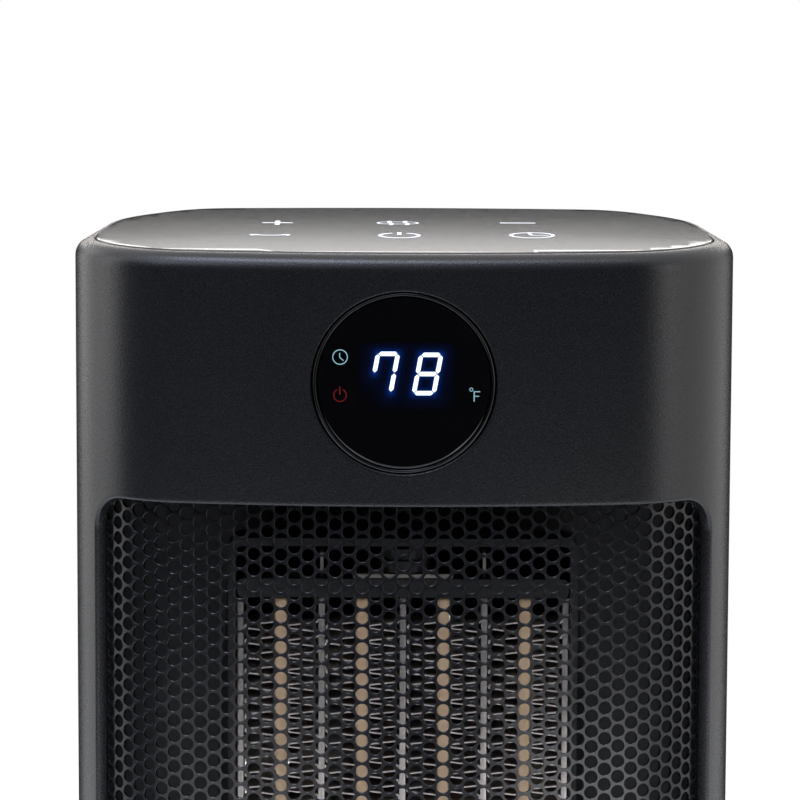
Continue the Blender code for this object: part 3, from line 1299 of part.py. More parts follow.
def main():
    clear_scene()
    base = empty_at("base_frame", (0, 0, 0))
    body = empty_at("swing_axis", (0, 0, 0), base)
    fan = empty_at("fan_axis", (0, FAN_Y, PTC_MIDDLE_Z), body)
    x, y = pinion_centre()
    pinion = empty_at("pinion_axis", (x, y, BASE_TOP), body)
    rocker = empty_at("rocker_axis", rocker_pivot(), body)
    plunger = empty_at("plunger_axis", (TIP_X, TIP_Y, 0), base)

    black_abs = finish("black_abs", "232325", 0.48)
    dark_panel = finish("dark_panel", "4a4846", 0.38)
    gloss_black = finish("gloss_black", "060607", 0.06)
    grille_steel = finish("grille_steel", "1d1d1f", 0.35, 0.6)
    green_board = finish("green_board", "1e4a2c", 0.5)
    digit_white = finish("digit_white", "d8dade", 0.4)
    aluminium = finish("aluminium", "b9bcc0", 0.3, 1.0)
    tan_core = finish("tan_core", "b59b78", 0.6)
    black_nylon = finish("black_nylon", "161617", 0.55)
    tin_plate = finish("tin_plate", "c9c4b8", 0.25, 1.0)
    zinc_steel = finish("zinc_steel", "8f9296", 0.35, 1.0)
    blue_relay = finish("blue_relay", "22427a", 0.35)
    white_nylon = finish("white_nylon", "dcdad2", 0.45)
    black_rubber = finish("black_rubber", "121212", 0.85)

    make_front_shell(black_abs, body)
    make_rear_cover(black_abs, body)
    make_cover_screws(zinc_steel, body)
    make_touch_panel(dark_panel, green_board, body)
    make_front_grille(grille_steel, body)
    make_display(gloss_black, gloss_black, green_board, digit_white, body)
    make_heating_element(aluminium, tan_core, black_nylon, tin_plate, body)
    make_overheat_cutout(tin_plate, black_nylon, body)
    make_chassis_plate(black_nylon, body)
    make_air_duct(black_nylon, body)
    make_fan(black_nylon, zinc_steel, fan)
    make_fan_motor(zinc_steel, zinc_steel, body)
    make_control_board(green_board, blue_relay, gloss_black, aluminium, body)
    make_power_switch(black_nylon, gloss_black, body, rocker)
    make_cord_gland(black_rubber, black_nylon, body)
    make_body_floor(black_abs, black_nylon, body)
    make_swing_gear(white_nylon, white_nylon, zinc_steel, base, body, pinion)
    make_base(black_abs, black_nylon, black_rubber, white_nylon, base)
    make_tip_over_switch(black_nylon, white_nylon, base, plunger)


main()
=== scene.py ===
# %% [markdown]
# # A desktop ceramic heater
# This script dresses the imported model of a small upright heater.  The model brings
# every piece in its right place and size, and this file gives the outer pieces their
# smooth curves, and every piece the finish of the material that it is made of.

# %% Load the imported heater
import math

import bmesh
import bpy
from mathutils import Matrix, Vector
from mathutils.bvhtree import BVHTree


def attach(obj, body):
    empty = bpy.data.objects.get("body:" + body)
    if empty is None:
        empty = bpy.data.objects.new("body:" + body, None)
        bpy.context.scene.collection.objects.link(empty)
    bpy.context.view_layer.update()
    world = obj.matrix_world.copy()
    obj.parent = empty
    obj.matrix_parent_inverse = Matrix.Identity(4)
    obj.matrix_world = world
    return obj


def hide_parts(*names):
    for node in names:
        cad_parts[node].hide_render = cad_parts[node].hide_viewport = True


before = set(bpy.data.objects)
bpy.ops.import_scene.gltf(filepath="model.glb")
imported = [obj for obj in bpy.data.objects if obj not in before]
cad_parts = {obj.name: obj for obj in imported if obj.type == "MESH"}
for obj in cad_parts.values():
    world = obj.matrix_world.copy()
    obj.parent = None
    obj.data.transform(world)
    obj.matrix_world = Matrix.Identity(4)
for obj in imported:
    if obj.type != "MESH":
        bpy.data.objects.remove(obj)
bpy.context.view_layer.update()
MM = 0.001

# %% [markdown]
# ## Where the camera stands
# The picture was taken with a long lens from more than a metre away, a little above
# the heater, so upright edges stay nearly parallel and the top is a narrow ellipse.
# The lens and the distance were found from the pitch of the holes and from how the
# rows of holes close up towards the bottom of the picture.

# %% Set the camera
CAMERA_PLACE = Vector((-1.7, -1270, 412.8)) * MM
LOOK_DOWN = math.radians(8.78)
LEAN = math.radians(-0.22)
LENS = 219.7                      # mm, on a sensor 36 mm wide

lens = bpy.data.cameras.new("studio_camera")
lens.lens = LENS
lens.sensor_width = 36
lens.clip_start = 10 * MM
camera = bpy.data.objects.new("studio_camera", lens)
bpy.context.scene.collection.objects.link(camera)
camera.location = CAMERA_PLACE
camera.rotation_euler = (math.pi / 2 - LOOK_DOWN, LEAN, 0)
bpy.context.scene.camera = camera
bpy.context.scene.view_settings.view_transform = "Standard"
print("camera", round(CAMERA_PLACE.length, 3), "m from the middle of the foot")

# %% [markdown]
# ## Helpers for materials
# A web colour such as 2a2a2c is stored in sRGB, while the shader wants linear light,
# so one function turns the one into the other.  A second one adds a node, sets what
# it is given and links the sockets that it is handed.  The others lead one pattern to
# the colour, the roughness or the relief, so a material reads as a short recipe.

# %% Colour and node helpers
def srgb(code):
    """Linear RGBA of a six-digit web colour."""
    parts = [int(code[i:i + 2], 16) / 255 for i in (0, 2, 4)]
    return (*[p / 12.92 if p <= 0.04045 else ((p + 0.055) / 1.055) ** 2.4 for p in parts], 1)


def add_node(tree, kind, inputs=None, **settings):
    """Add a node; an input that is itself a socket is linked, anything else is set."""
    node = tree.nodes.new("ShaderNode" + kind)
    for name, value in settings.items():
        setattr(node, name, value)
    for name, value in (inputs or {}).items():
        if isinstance(value, bpy.types.NodeSocket):
            tree.links.new(value, node.inputs[name])
        else:
            node.inputs[name].default_value = value
    return node


def start_material(name, **constants):
    """A Principled material with its constant sockets set, and its object coordinates."""
    material = bpy.data.materials.new(name)
    material.use_nodes = True
    tree = material.node_tree
    shader = tree.nodes["Principled BSDF"]
    for socket, value in constants.items():
        shader.inputs[socket.replace("_", " ")].default_value = value
    return material, tree, shader, add_node(tree, "TexCoord").outputs["Object"]


def noise(tree, place, size, detail, **more):
    """Noise whose grains have a size in millimetres."""
    return add_node(tree, "TexNoise", {"Vector": place, "Scale": 1 / (size * MM),
                                       "Detail": detail, **more}).outputs["Fac"]


def lead_colour(tree, shader, factor, first, second, socket="Base Color"):
    """Run a colour from first to second as the factor goes from 0 to 1."""
    mix = add_node(tree, "Mix", {"Factor": factor}, data_type="RGBA")
    mix.inputs[6].default_value = srgb(first)
    mix.inputs[7].default_value = srgb(second)
    tree.links.new(mix.outputs[2], shader.inputs[socket])


def lead_roughness(tree, shader, factor, first, second):
    rough = add_node(tree, "MapRange", {"Value": factor, "To Min": first, "To Max": second})
    tree.links.new(rough.outputs["Result"], shader.inputs["Roughness"])


def lead_relief(tree, shader, factor, depth, strength=1.0):
    bump = add_node(tree, "Bump", {"Height": factor, "Distance": depth, "Strength": strength})
    tree.links.new(bump.outputs["Normal"], shader.inputs["Normal"])


# %% [markdown]
# ## Moulded plastics
# The housing is ABS, injected into a mould whose walls were spark-eroded, which
# leaves a sand grain of a few tenths of a millimetre on the plastic.  The grain is
# too shallow to model, so a fine noise drives a bump, and the same noise makes the
# grain tips a little paler and smoother, which gives the speckle in a low light.
# Nylon, acetal and rubber pieces come from the same recipe with other numbers.

# %% Moulded plastics
GLOSS_OF_TIPS = 0.06                  # how much smoother than the average a grain tip is


def moulded(name, dark, pale, roughness, grain, relief, ior=1.5):
    """Plastic with a moulded grain; grain and relief are in millimetres."""
    material, tree, shader, place = start_material(name, IOR=ior)
    speckle = noise(tree, place, grain, 3.0, Roughness=0.6)
    cloud = noise(tree, place, 60 * grain, 2.0)
    tips = add_node(tree, "MapRange", {"Value": speckle, "From Min": 0.35,
                                       "From Max": 0.75}).outputs["Result"]
    both = add_node(tree, "Math", {0: cloud, 1: 0.35, 2: tips}, operation="MULTIPLY_ADD")
    lead_colour(tree, shader, both.outputs[0], dark, pale)
    lead_roughness(tree, shader, tips, roughness + GLOSS_OF_TIPS, roughness - GLOSS_OF_TIPS)
    lead_relief(tree, shader, speckle, relief * MM)
    return material


charcoal_abs = moulded("sand_grained_abs", "09090a", "1a1a1c", 0.27, 0.45, 0.055)
black_nylon = moulded("glass_filled_nylon", "101010", "1c1c1d", 0.55, 0.8, 0.03, 1.53)
white_acetal = moulded("natural_acetal", "cfccc2", "dedbd2", 0.38, 1.2, 0.01, 1.48)
black_rubber = moulded("moulded_rubber", "0d0d0d", "191919", 0.8, 0.5, 0.04, 1.52)
relay_blue = moulded("polyester_case", "1c3a6e", "27498a", 0.32, 1.0, 0.01, 1.55)
gloss_abs = moulded("polished_abs", "050506", "0a0a0b", 0.14, 2.0, 0.002)
print("moulded plastics:", 6)

# %% [markdown]
# ## Coats, window, signs and painted steel
# The touch panel has a satin coat: smooth, with a grain finer than the housing's, so
# it picks up a broad, soft reflection.  The display window is smoked acrylic, polished
# and nearly black, with the faintest haze from wiping.  The outlet sheet is punched
# steel with a thin satin black paint that has a slight orange peel.  The signs on the
# panel are screen-printed in white ink, a little uneven in its cover, and the ones on
# the display are lit from behind.

# %% Coats, window, ink and light
def coat(name, dark, pale, size, detail, gloss=None, relief=None, **constants):
    """A thin coat or polish with one pattern; its size and relief are in millimetres."""
    material, tree, shader, place = start_material(name, **constants)
    pattern = noise(tree, place, size, detail)
    lead_colour(tree, shader, pattern, dark, pale)
    if gloss:
        lead_roughness(tree, shader, pattern, *gloss)
    if relief:
        lead_relief(tree, shader, pattern, relief * MM)
    return material


def backlit_sign(name, core, edge, strength):
    """A sign lit by diodes from behind; the light is a little uneven."""
    material, tree, shader, place = start_material(name, Roughness=0.3, Base_Color=srgb("040405"),
                                                   Emission_Strength=strength)
    lead_colour(tree, shader, noise(tree, place, 2.2, 1.0), edge, core, "Emission Color")
    return material


panel_coat = coat("satin_panel_coat", "252422", "383633", 0.5, 2.0, (0.07, 0.15), 0.004, IOR=1.5)
window_acrylic = coat("smoked_acrylic", "020203", "060607", 9, 3.0, (0.03, 0.07), IOR=1.49)
black_sheet = coat("painted_sheet_steel", "0a0a0c", "141417", 0.9, 2.0, (0.16, 0.26), 0.008,
                   IOR=1.5)
white_ink = coat("white_screen_ink", "dfe1e4", "f4f6f8", 0.7, 2.0, IOR=1.48, Roughness=0.45)
digit_light = backlit_sign("digit_light", "f4fbff", "d6ecff", 1.6)
sign_light = backlit_sign("sign_light", "a9dbe6", "8cc3d2", 0.75)
red_light = backlit_sign("red_sign_light", "8e1414", "6e0c0e", 0.6)

# %% [markdown]
# ## Bare metals
# The fins and the side plates of the element are rolled aluminium, which has fine
# lines along the rolling direction.  Screws, shafts and motor cans are zinc-plated
# steel, and the terminals are tinned.

# %% Bare metals
def rolled_metal(name, dark, pale, roughness, along=(1, 1, 30)):
    """Sheet metal with rolling lines; along stretches the pattern by axis."""
    material, tree, shader, place = start_material(name, Metallic=1.0)
    turned = add_node(tree, "Mapping", {"Vector": place, "Scale": along})
    lines = noise(tree, turned.outputs["Vector"], 3, 3.0)
    lead_colour(tree, shader, lines, dark, pale)
    lead_roughness(tree, shader, lines, roughness - 0.07, roughness + 0.07)
    return material


fin_aluminium = rolled_metal("rolled_aluminium", "d6ccc7", "f4ece7", 0.42)
zinc_plate = rolled_metal("zinc_plated_steel", "7c7f83", "a3a6aa", 0.38, (1, 1, 6))
tinned_strip = rolled_metal("tinned_steel", "b9b3a8", "d8d3ca", 0.3, (12, 1, 1))

# %% [markdown]
# ## Heating cores and boards
# Each heating core is a bar of ceramic tablets in an aluminium tube, wound in tan
# insulating film, so it is warm in colour with faint breaks where the tablets meet.
# The boards are glass-fibre laminate under a green solder mask.

# %% Core film and board
def core_film():
    """Tan insulating film over ceramic tablets 24 mm long."""
    material, tree, shader, place = start_material("tan_core_film", IOR=1.6, Roughness=0.42)
    lead_colour(tree, shader, noise(tree, place, 5, 4.0), "d9b48c", "f3d4ac")
    wave = add_node(tree, "TexWave", {"Vector": place, "Scale": 1 / (24 * MM),
                                      "Distortion": 0.4}, bands_direction="Z")
    lead_relief(tree, shader, wave.outputs["Fac"], 0.15 * MM, 0.5)
    return material


def solder_mask():
    """Green mask with the tracks showing through as paler lanes."""
    material, tree, shader, place = start_material("green_solder_mask", IOR=1.5, Roughness=0.35)
    tracks = add_node(tree, "TexBrick", {"Vector": place, "Scale": 1 / (16 * MM),
                                         "Mortar Size": 0.03, "Color1": srgb("16452a"),
                                         "Color2": srgb("1b5232"), "Mortar": srgb("2d7448")})
    tree.links.new(tracks.outputs["Color"], shader.inputs["Base Color"])
    return material


tan_film = core_film()
green_board = solder_mask()

# %% [markdown]
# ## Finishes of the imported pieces
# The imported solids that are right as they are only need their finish, so each gets
# the material of the real one.  Pieces that come in numbers share one entry.

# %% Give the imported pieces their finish
FINISHES = (
    (charcoal_abs, "front_shell rear_cover body_floor base_shell"),
    (black_nylon, "digit_module ptc_top_holder ptc_bottom_holder thermal_cutout chassis_plate "
                  "air_duct fan_impeller switch_frame gland_nut pivot_retainer base_plate "
                  "tip_over_switch"),
    (white_acetal, "swing_pinion gear_sector glide_ring tip_over_plunger"),
    (black_rubber, "cord_gland foot_front_left foot_front_right foot_rear_left foot_rear_right"),
    (gloss_abs, "filter_capacitor power_rocker display_bezel"),
    (relay_blue, "power_relay"),
    (panel_coat, "touch_panel"),
    (window_acrylic, "display_lens"),
    (black_sheet, "front_grille grille_left grille_right"),
    (fin_aluminium, "heat_sink ptc_rail"),
    (zinc_plate, "fan_shaft fan_motor motor_spider swing_motor cover_screw"),
    (tinned_strip, "ptc_terminal cutout_bracket"),
    (tan_film, "ptc_core"),
    (green_board, "touch_board display_board control_board"),
)
finish_of = {kind: finish for finish, kinds in FINISHES for kind in kinds.split()}
for name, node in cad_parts.items():
    node.data.materials.clear()
    node.data.materials.append(finish_of[name.rstrip("_12345")])
print("finished", len(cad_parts), "packed pieces")

# %% [markdown]
# ## The plan of the body
# Seen from above the body is four bows joined by round corners.  Moving such a plan
# inwards only makes its radii smaller, so one pair of radii for the front and one for
# the back give every wall, rim and ledge.

# %% Sizes of the body
HALF_WIDTH = 85 * MM
HALF_DEPTH = 55 * MM
FRONT = (353 * MM, 34.5 * MM, -1)     # bow radius, corner radius, side it faces
REAR = (600 * MM, 42 * MM, 1)
BODY_LOW = 24 * MM
BODY_TOP = 261.6 * MM
WALL = 3.0 * MM
SEAM = 12 * MM
SLIT = 0.3 * MM                       # gap that every joint between pieces keeps
SHEET_DEPTH = 3.3 * MM                # runs along the wall are measured at this depth
WELD = 0.0005 * MM                    # points closer than this are one
PANEL_INSET = 5.3 * MM
TUCK_LOW = 246 * MM                   # above this the body is drawn in towards its back
TUCK_STEP = 2 * MM
TUCK_SIDE = (52 * MM, 72 * MM)        # distance from the middle at which it begins and ends
RIM_TUCK = (5.2 * MM, -18 * MM, 12 * MM)    # amount, and where it begins and ends
PANEL_TUCK = (3.3 * MM, -10 * MM, 20 * MM)


def bow_numbers(face):
    """Turn of the bow, its run, the corner's run and the corner's centre."""
    bow, corner, _ = face
    turn = math.asin((HALF_WIDTH - corner) / (bow - corner))
    corner_y = HALF_DEPTH - bow + (bow - corner) * math.cos(turn)
    return (turn, (bow - SHEET_DEPTH) * turn, (corner - SHEET_DEPTH) * (math.pi / 2 - turn),
            corner_y)


def wrap_point(point, face):
    """Bend a point of the flat wall (run, depth, height) round the body."""
    bow, corner, facing = face
    turn, bow_run, corner_run, corner_y = bow_numbers(face)
    run, depth, height = abs(point.x), point.y, point.z
    if run < bow_run:
        angle = run / (bow - SHEET_DEPTH)
        x = (bow - depth) * math.sin(angle)
        y = HALF_DEPTH - bow + (bow - depth) * math.cos(angle)
    elif run < bow_run + corner_run:
        angle = turn + (run - bow_run) / (corner - SHEET_DEPTH)
        x = HALF_WIDTH - corner + (corner - depth) * math.sin(angle)
        y = corner_y + (corner - depth) * math.cos(angle)
    else:
        x = HALF_WIDTH - depth
        y = corner_y - (run - bow_run - corner_run)
    return Vector((math.copysign(x, point.x), facing * y, height))


def run_to_seam(face, seam):
    """Run from the middle of a face to the seam on the side of the body."""
    _, bow_run, corner_run, corner_y = bow_numbers(face)
    return bow_run + corner_run + corner_y - face[2] * seam


def inset_at(x, y):
    """How far a point lies inside the outline of the body."""
    insets = [HALF_WIDTH - abs(x)]
    for face in (FRONT, REAR):
        bow, corner, facing = face
        corner_y = bow_numbers(face)[3]
        out = facing * y
        insets.append(bow - math.hypot(x, out - HALF_DEPTH + bow))
        if abs(x) > HALF_WIDTH - corner and out > corner_y:
            insets.append(corner - math.hypot(abs(x) - HALF_WIDTH + corner, out - corner_y))
    return min(insets)


def ease(value, start, end):
    """Runs smoothly from 0 at the start to 1 at the end."""
    share = min(1, max(0, (value - start) / (end - start)))
    return share * share * (3 - 2 * share)


def tuck_in(bm):
    """Draw the upper edge of the body in where it runs back, more at the rim's face."""
    step = 0.01 * MM
    for vert in bm.verts:
        x, y, z = vert.co
        if z > TUCK_LOW and abs(x) > TUCK_SIDE[0] and y > RIM_TUCK[1]:
            rim = RIM_TUCK[0] * ease(y, *RIM_TUCK[1:])
            panel = PANEL_TUCK[0] * ease(y, *PANEL_TUCK[1:])
            share = min(1, max(0, inset_at(x, y)) / PANEL_INSET)
            amount = (rim + (panel - rim) * share) * ease(abs(x), *TUCK_SIDE)
            inward = Vector((inset_at(x + step, y) - inset_at(x - step, y),
                             inset_at(x, y + step) - inset_at(x, y - step)))
            vert.co.xy += inward.normalized() * amount * ease(z, TUCK_LOW, BODY_TOP)


print("front wall:", round(2 * run_to_seam(FRONT, SEAM) / MM, 1), "mm from seam to seam")

# %% [markdown]
# ## Walls are made flat and then bent
# A window in a wall that bends round two corners is hard to cut, but easy in a flat
# sheet.  So each wall is drawn flat, as run along the wall, depth behind its face and
# height, with every opening edged by a few growing outlines that give it a rolled
# lip.  Then the sheet is sliced into narrow strips and bent round the plan.

# %% Openings in flat walls
def stand_up(bm, verts, place):
    """Turn a flat drawing upright, to face the front, and put it in its place."""
    bmesh.ops.rotate(bm, verts=verts, matrix=Matrix.Rotation(math.pi / 2, 3, "X"))
    bmesh.ops.translate(bm, verts=verts, vec=place)


def round_outline(middle, width, height, corner, segments=6):
    """A drawer of round-cornered outlines, grown by a margin, at a depth."""
    def draw(bm, grow, depth):
        made = bmesh.ops.create_grid(bm, x_segments=1, y_segments=1, size=0.5)["verts"]
        bmesh.ops.scale(bm, vec=(width + 2 * grow, height + 2 * grow, 1), verts=made)
        stand_up(bm, made, (middle[0], depth, middle[1]))
        face = made[0].link_faces[0]
        rounded = bmesh.ops.bevel(bm, geom=made, offset=corner + grow, segments=segments,
                                  profile=0.5, affect="VERTICES", material=-1)
        edges = list({edge for vert in rounded["verts"] for edge in vert.link_edges})
        for old in {f for edge in edges for f in edge.link_faces}:
            bm.faces.remove(old)
        return edges
    return draw


def ring_outline(middle, radius, segments=24):
    """A drawer of circles, grown by a margin, at a depth."""
    def draw(bm, grow, depth):
        made = bmesh.ops.create_circle(bm, segments=segments, radius=radius + grow)["verts"]
        stand_up(bm, made, (middle[0], depth, middle[1]))
        return list({edge for vert in made for edge in vert.link_edges})
    return draw


def rolled_lip(radius, steps=4):
    """(grow, depth) of a quarter round from the face into an opening."""
    angles = [math.pi / 2 * i / steps for i in range(steps + 1)]
    return [(radius * (1 - math.sin(a)), radius * (1 - math.cos(a))) for a in angles]


def quarter(inset, height, radius, steps=4, up=1):
    """(inset, height) of an edge rolled inwards from a wall, at its top or its foot."""
    angles = [math.pi / 2 * i / steps for i in range(steps + 1)]
    return [(inset + radius * (1 - math.cos(a)), height - up * radius * (1 - math.sin(a)))
            for a in angles]


def edge_opening(bm, draw, steps):
    """Skin an opening through outlines at each (grow, depth); return the two ends."""
    outlines = [draw(bm, grow, depth) for grow, depth in steps]
    for near, far in zip(outlines, outlines[1:]):
        bmesh.ops.bridge_loops(bm, edges=near + far)
    return outlines[0], outlines[-1]


# %% Skins, edges and slices of flat walls
def flat_skin(bm, span, low, high, depth, holes):
    """Fill the wall at a depth, between two heights and round its openings."""
    corners = [bm.verts.new((x, depth, z)) for x, z in
               ((-span, low), (span, low), (span, high), (-span, high))]
    rim = [bm.edges.new((corners[i - 1], corners[i])) for i in range(4)]
    bmesh.ops.triangle_fill(bm, use_beauty=True, edges=rim + holes)


def sweep_line(bm, ends, axes, steps):
    """Extrude a line by setting two coordinates of its ends anew at each step."""
    edge = bm.edges.new([bm.verts.new(end) for end in ends])
    faces = []
    for step in steps:
        made = bmesh.ops.extrude_edge_only(bm, edges=[edge])["geom"]
        line = [item for item in made if isinstance(item, bmesh.types.BMVert)]
        for vert in line:
            for axis, value in zip(axes, step):
                vert.co[axis] = value
        edge = bm.edges.get(line)
        faces += [item for item in made if isinstance(item, bmesh.types.BMFace)]
    return faces


def cut_through(bm, place, direction, dist=WELD, **more):
    bmesh.ops.bisect_plane(bm, geom=bm.verts[:] + bm.edges[:] + bm.faces[:], dist=dist,
                           plane_co=place, plane_no=direction, **more)


def slice_runs(bm, runs):
    """Cut the flat wall across at each run, and along near its top, so that it can bend."""
    for run in runs:
        cut_through(bm, (run, 0, 0), (1, 0, 0))
    for i in range(6):
        cut_through(bm, (0, 0, TUCK_LOW + i * TUCK_STEP), (0, 0, 1))


def bend_runs(face, span, bow_step=4 * MM, corner_step=1.4 * MM):
    """Runs at which a wall is sliced: wide steps on the bow, narrow on the corners."""
    _, bow_run, corner_run, _ = bow_numbers(face)
    half = [i * bow_step for i in range(1, math.ceil(bow_run / bow_step))]
    count = math.ceil(corner_run / corner_step)
    half += [bow_run + corner_run * i / count for i in range(count + 1)]
    half = [run for run in half if run < span]
    return [-run for run in half] + [0] + half


def add_object(name, bm, material):
    """Hand a shape over to a new object with one material."""
    mesh = bpy.data.meshes.new(name)
    bm.to_mesh(mesh)
    bm.free()
    mesh.materials.append(material)
    made = bpy.data.objects.new(name, mesh)
    bpy.context.scene.collection.objects.link(made)
    return made


def finish_piece(name, bm, material, body, replaced=(), smooth=35):
    """Make the shape a shaded piece that rides on a body of the heater."""
    bmesh.ops.remove_doubles(bm, verts=bm.verts, dist=WELD)
    bmesh.ops.recalc_face_normals(bm, faces=bm.faces)
    made = add_object(name, bm, material)
    made.data.shade_smooth()
    made.data.set_sharp_from_angle(angle=math.radians(smooth))
    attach(made, body)
    if replaced:
        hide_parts(*replaced)
    print(name, len(made.data.polygons), "faces")
    return made


# %% [markdown]
# ## Front housing
# The front housing is one moulding from seam to seam.  Its window has a lip of less
# than a millimetre, cut square to the face, and the round hole above it takes the
# display.  At the top the wall rolls over into the rim and a ledge for the panel.

# %% Front housing
WINDOW_LOW = 46 * MM
WINDOW_HIGH = 197.6 * MM
WINDOW_RUN = 162 * MM
WINDOW_CORNER = 9.5 * MM
WINDOW_LIP = 0.7 * MM
DISPLAY_HEIGHT = 229.3 * MM
DISPLAY_HOLE = 23.3 * MM
DISPLAY_LIP = 0.3 * MM
TOP_ROUND = 4.4 * MM
RIM_DEPTH = 5.0 * MM
LEDGE_DEPTH = 9.3 * MM
PANEL_SEAT = BODY_TOP - 2.3 * MM
LEDGE_UNDER = PANEL_SEAT - 2.2 * MM
LOWER_ROUND = 1.2 * MM
SUPPORT = 0.6 * MM                    # plain margin that keeps the shading of a lip tight


def rim_profile():
    """(depth, height) from the outer face over the rim and ledge to the inner face."""
    edge = 0.25 * MM
    return [(0, BODY_TOP - TOP_ROUND - SUPPORT), *quarter(0, BODY_TOP, TOP_ROUND, 8),
            (RIM_DEPTH - edge, BODY_TOP), (RIM_DEPTH, BODY_TOP - edge), (RIM_DEPTH, PANEL_SEAT),
            (LEDGE_DEPTH, PANEL_SEAT), (LEDGE_DEPTH, LEDGE_UNDER), (WALL, LEDGE_UNDER)]


def skirt_profile():
    """(depth, height) of the lower edge, from the outer face to the inner one."""
    return [(0, BODY_LOW + LOWER_ROUND + SUPPORT),
            *quarter(0, BODY_LOW, LOWER_ROUND, up=-1), (WALL, BODY_LOW)]


def close_wall(bm, span, openings, face):
    """Add both skins, the rim and the skirt, close the ends and slice the wall into strips for
    bending.
    """
    outer, inner = [[edge for ends in openings for edge in ends[i]] for i in (0, 1)]
    flat_skin(bm, span, BODY_LOW + LOWER_ROUND + SUPPORT, BODY_TOP - TOP_ROUND - SUPPORT, 0,
              outer)
    flat_skin(bm, span, BODY_LOW, LEDGE_UNDER, WALL, inner)
    for profile in (rim_profile(), skirt_profile()):
        sweep_line(bm, [(side * span, *profile[0]) for side in (-1, 1)], (1, 2), profile[1:])
    bmesh.ops.remove_doubles(bm, verts=bm.verts, dist=WELD)
    open_edges = [edge for edge in bm.edges if edge.is_boundary]
    bmesh.ops.holes_fill(bm, edges=open_edges, sides=0)
    slice_runs(bm, bend_runs(face, span))


def make_front_housing():
    bm = bmesh.new()
    middle = (WINDOW_LOW + WINDOW_HIGH) / 2
    window = round_outline((0, middle), WINDOW_RUN, WINDOW_HIGH - WINDOW_LOW, WINDOW_CORNER, 12)
    porthole = ring_outline((0, DISPLAY_HEIGHT), DISPLAY_HOLE, 96)
    openings = [edge_opening(bm, draw, [(lip + SUPPORT, 0), *rolled_lip(lip), (0, WALL)])
                for draw, lip in ((window, WINDOW_LIP), (porthole, DISPLAY_LIP))]
    close_wall(bm, run_to_seam(FRONT, SEAM - SLIT / 2), openings, FRONT)
    for vert in bm.verts:
        vert.co = wrap_point(vert.co, FRONT)
    tuck_in(bm)
    finish_piece("front_housing", bm, charcoal_abs, "body", ["front_shell"])


make_front_housing()

# %% [markdown]
# ## Rear housing
# The rear housing bows the other way.  Two columns of slots let the fan draw air,
# four deep seats take the screws, and a flat-bottomed pocket holds the switch and the
# gland, so that nothing stands out behind the heater.

# %% Rear housing
SLOT_LENGTH = 44 * MM
SLOT_HEIGHT = 3.2 * MM
SLOT_PITCH = 6.8 * MM
SLOT_ROWS = 12
SLOT_RIB = 8 * MM
FAN_HEIGHT = 116.5 * MM
POCKET = ((0, 51.5 * MM), 104 * MM, 27 * MM, 4 * MM)
POCKET_FLOOR = 51.6 * MM
PAD_WALL = 3.0 * MM
SCREW_DEPTH = 1.8 * MM
SWITCH_HOLE = ((30 * MM, 51.5 * MM), 19.6 * MM, 14.0 * MM, 0.3 * MM)
GLAND_HOLE = ((-30 * MM, 51.5 * MM), 5.8 * MM)
SCREW_PLACES = [(side * 52.5 * MM, height * MM) for side in (-1, 1) for height in (74, 243.6)]


def make_rear_housing():
    bm = bmesh.new()
    openings = []
    for side in (-1, 1):
        for row in range(SLOT_ROWS):
            place = (side * (SLOT_LENGTH + SLOT_RIB) / 2,
                     FAN_HEIGHT + (row - (SLOT_ROWS - 1) / 2) * SLOT_PITCH)
            slot = round_outline(place, SLOT_LENGTH, SLOT_HEIGHT, SLOT_HEIGHT / 2 - 0.02 * MM, 4)
            lip = [(0.9 * MM, 0), *rolled_lip(0.5 * MM, 3), (0, WALL)]
            openings.append(edge_opening(bm, slot, lip))
    for place in SCREW_PLACES:
        steps = [(2.1 * MM, 0), (1.7 * MM, 0), (1.5 * MM, 0.2 * MM), (1.5 * MM, SCREW_DEPTH),
                 (0, SCREW_DEPTH), (0, WALL)]
        openings.append(edge_opening(bm, ring_outline(place, 1.8 * MM), steps))
    pocket = round_outline(*POCKET, 6)
    floor_depth = HALF_DEPTH - POCKET_FLOOR
    face_edge, floor_edge = edge_opening(
        bm, pocket, [(1.2 * MM, 0), *rolled_lip(0.6 * MM), (0, floor_depth)])
    pad_edge, back_edge = edge_opening(
        bm, pocket, [(PAD_WALL, floor_depth + PAD_WALL), (PAD_WALL, WALL)])
    openings.append((face_edge, back_edge))
    for draw in (round_outline(*SWITCH_HOLE, 2), ring_outline(*GLAND_HOLE)):
        near, far = edge_opening(bm, draw, [(0, floor_depth), (0, floor_depth + PAD_WALL)])
        floor_edge += near
        pad_edge += far
    for edges in (floor_edge, pad_edge):
        bmesh.ops.triangle_fill(bm, use_beauty=True, edges=edges)
    close_wall(bm, run_to_seam(REAR, SEAM + SLIT / 2), openings, REAR)
    for vert in bm.verts:
        depth = vert.co.y
        beyond_wall = depth > WALL + SLIT and vert.co.z < POCKET[0][1] + POCKET[2]
        vert.co = wrap_point(vert.co, REAR)
        if beyond_wall:
            vert.co.y = HALF_DEPTH - depth
    tuck_in(bm)
    finish_piece("rear_housing", bm, charcoal_abs, "body", ["rear_cover"])


make_rear_housing()

# %% [markdown]
# ## Outlet sheet
# The sheet is a stock pattern of round holes, 4 mm apart, in rows at 60 degrees.  A
# press punches it flat, which rolls the upper edge of each hole a little, and then
# it is bent.  The script does the same: one six-sided cell with its hole is repeated,
# trimmed into a middle and two side panels between the holes, and bent round the front.

# %% One punched cell
HOLE_RADIUS = 1.66 * MM
HOLE_PITCH = 4 * MM
HOLE_ROLL = 0.1 * MM
HOLE_SIDES = 18                       # three for each side of the six-sided cell
SHEET_THICKNESS = 0.8 * MM
SHEET_MARGIN = 4 * MM                 # sheet behind the frame of the window
ROW_PHASE = 190.5 * MM                # height of one hole on the middle line
COLUMN_PITCH = HOLE_PITCH * math.sqrt(3) / 2


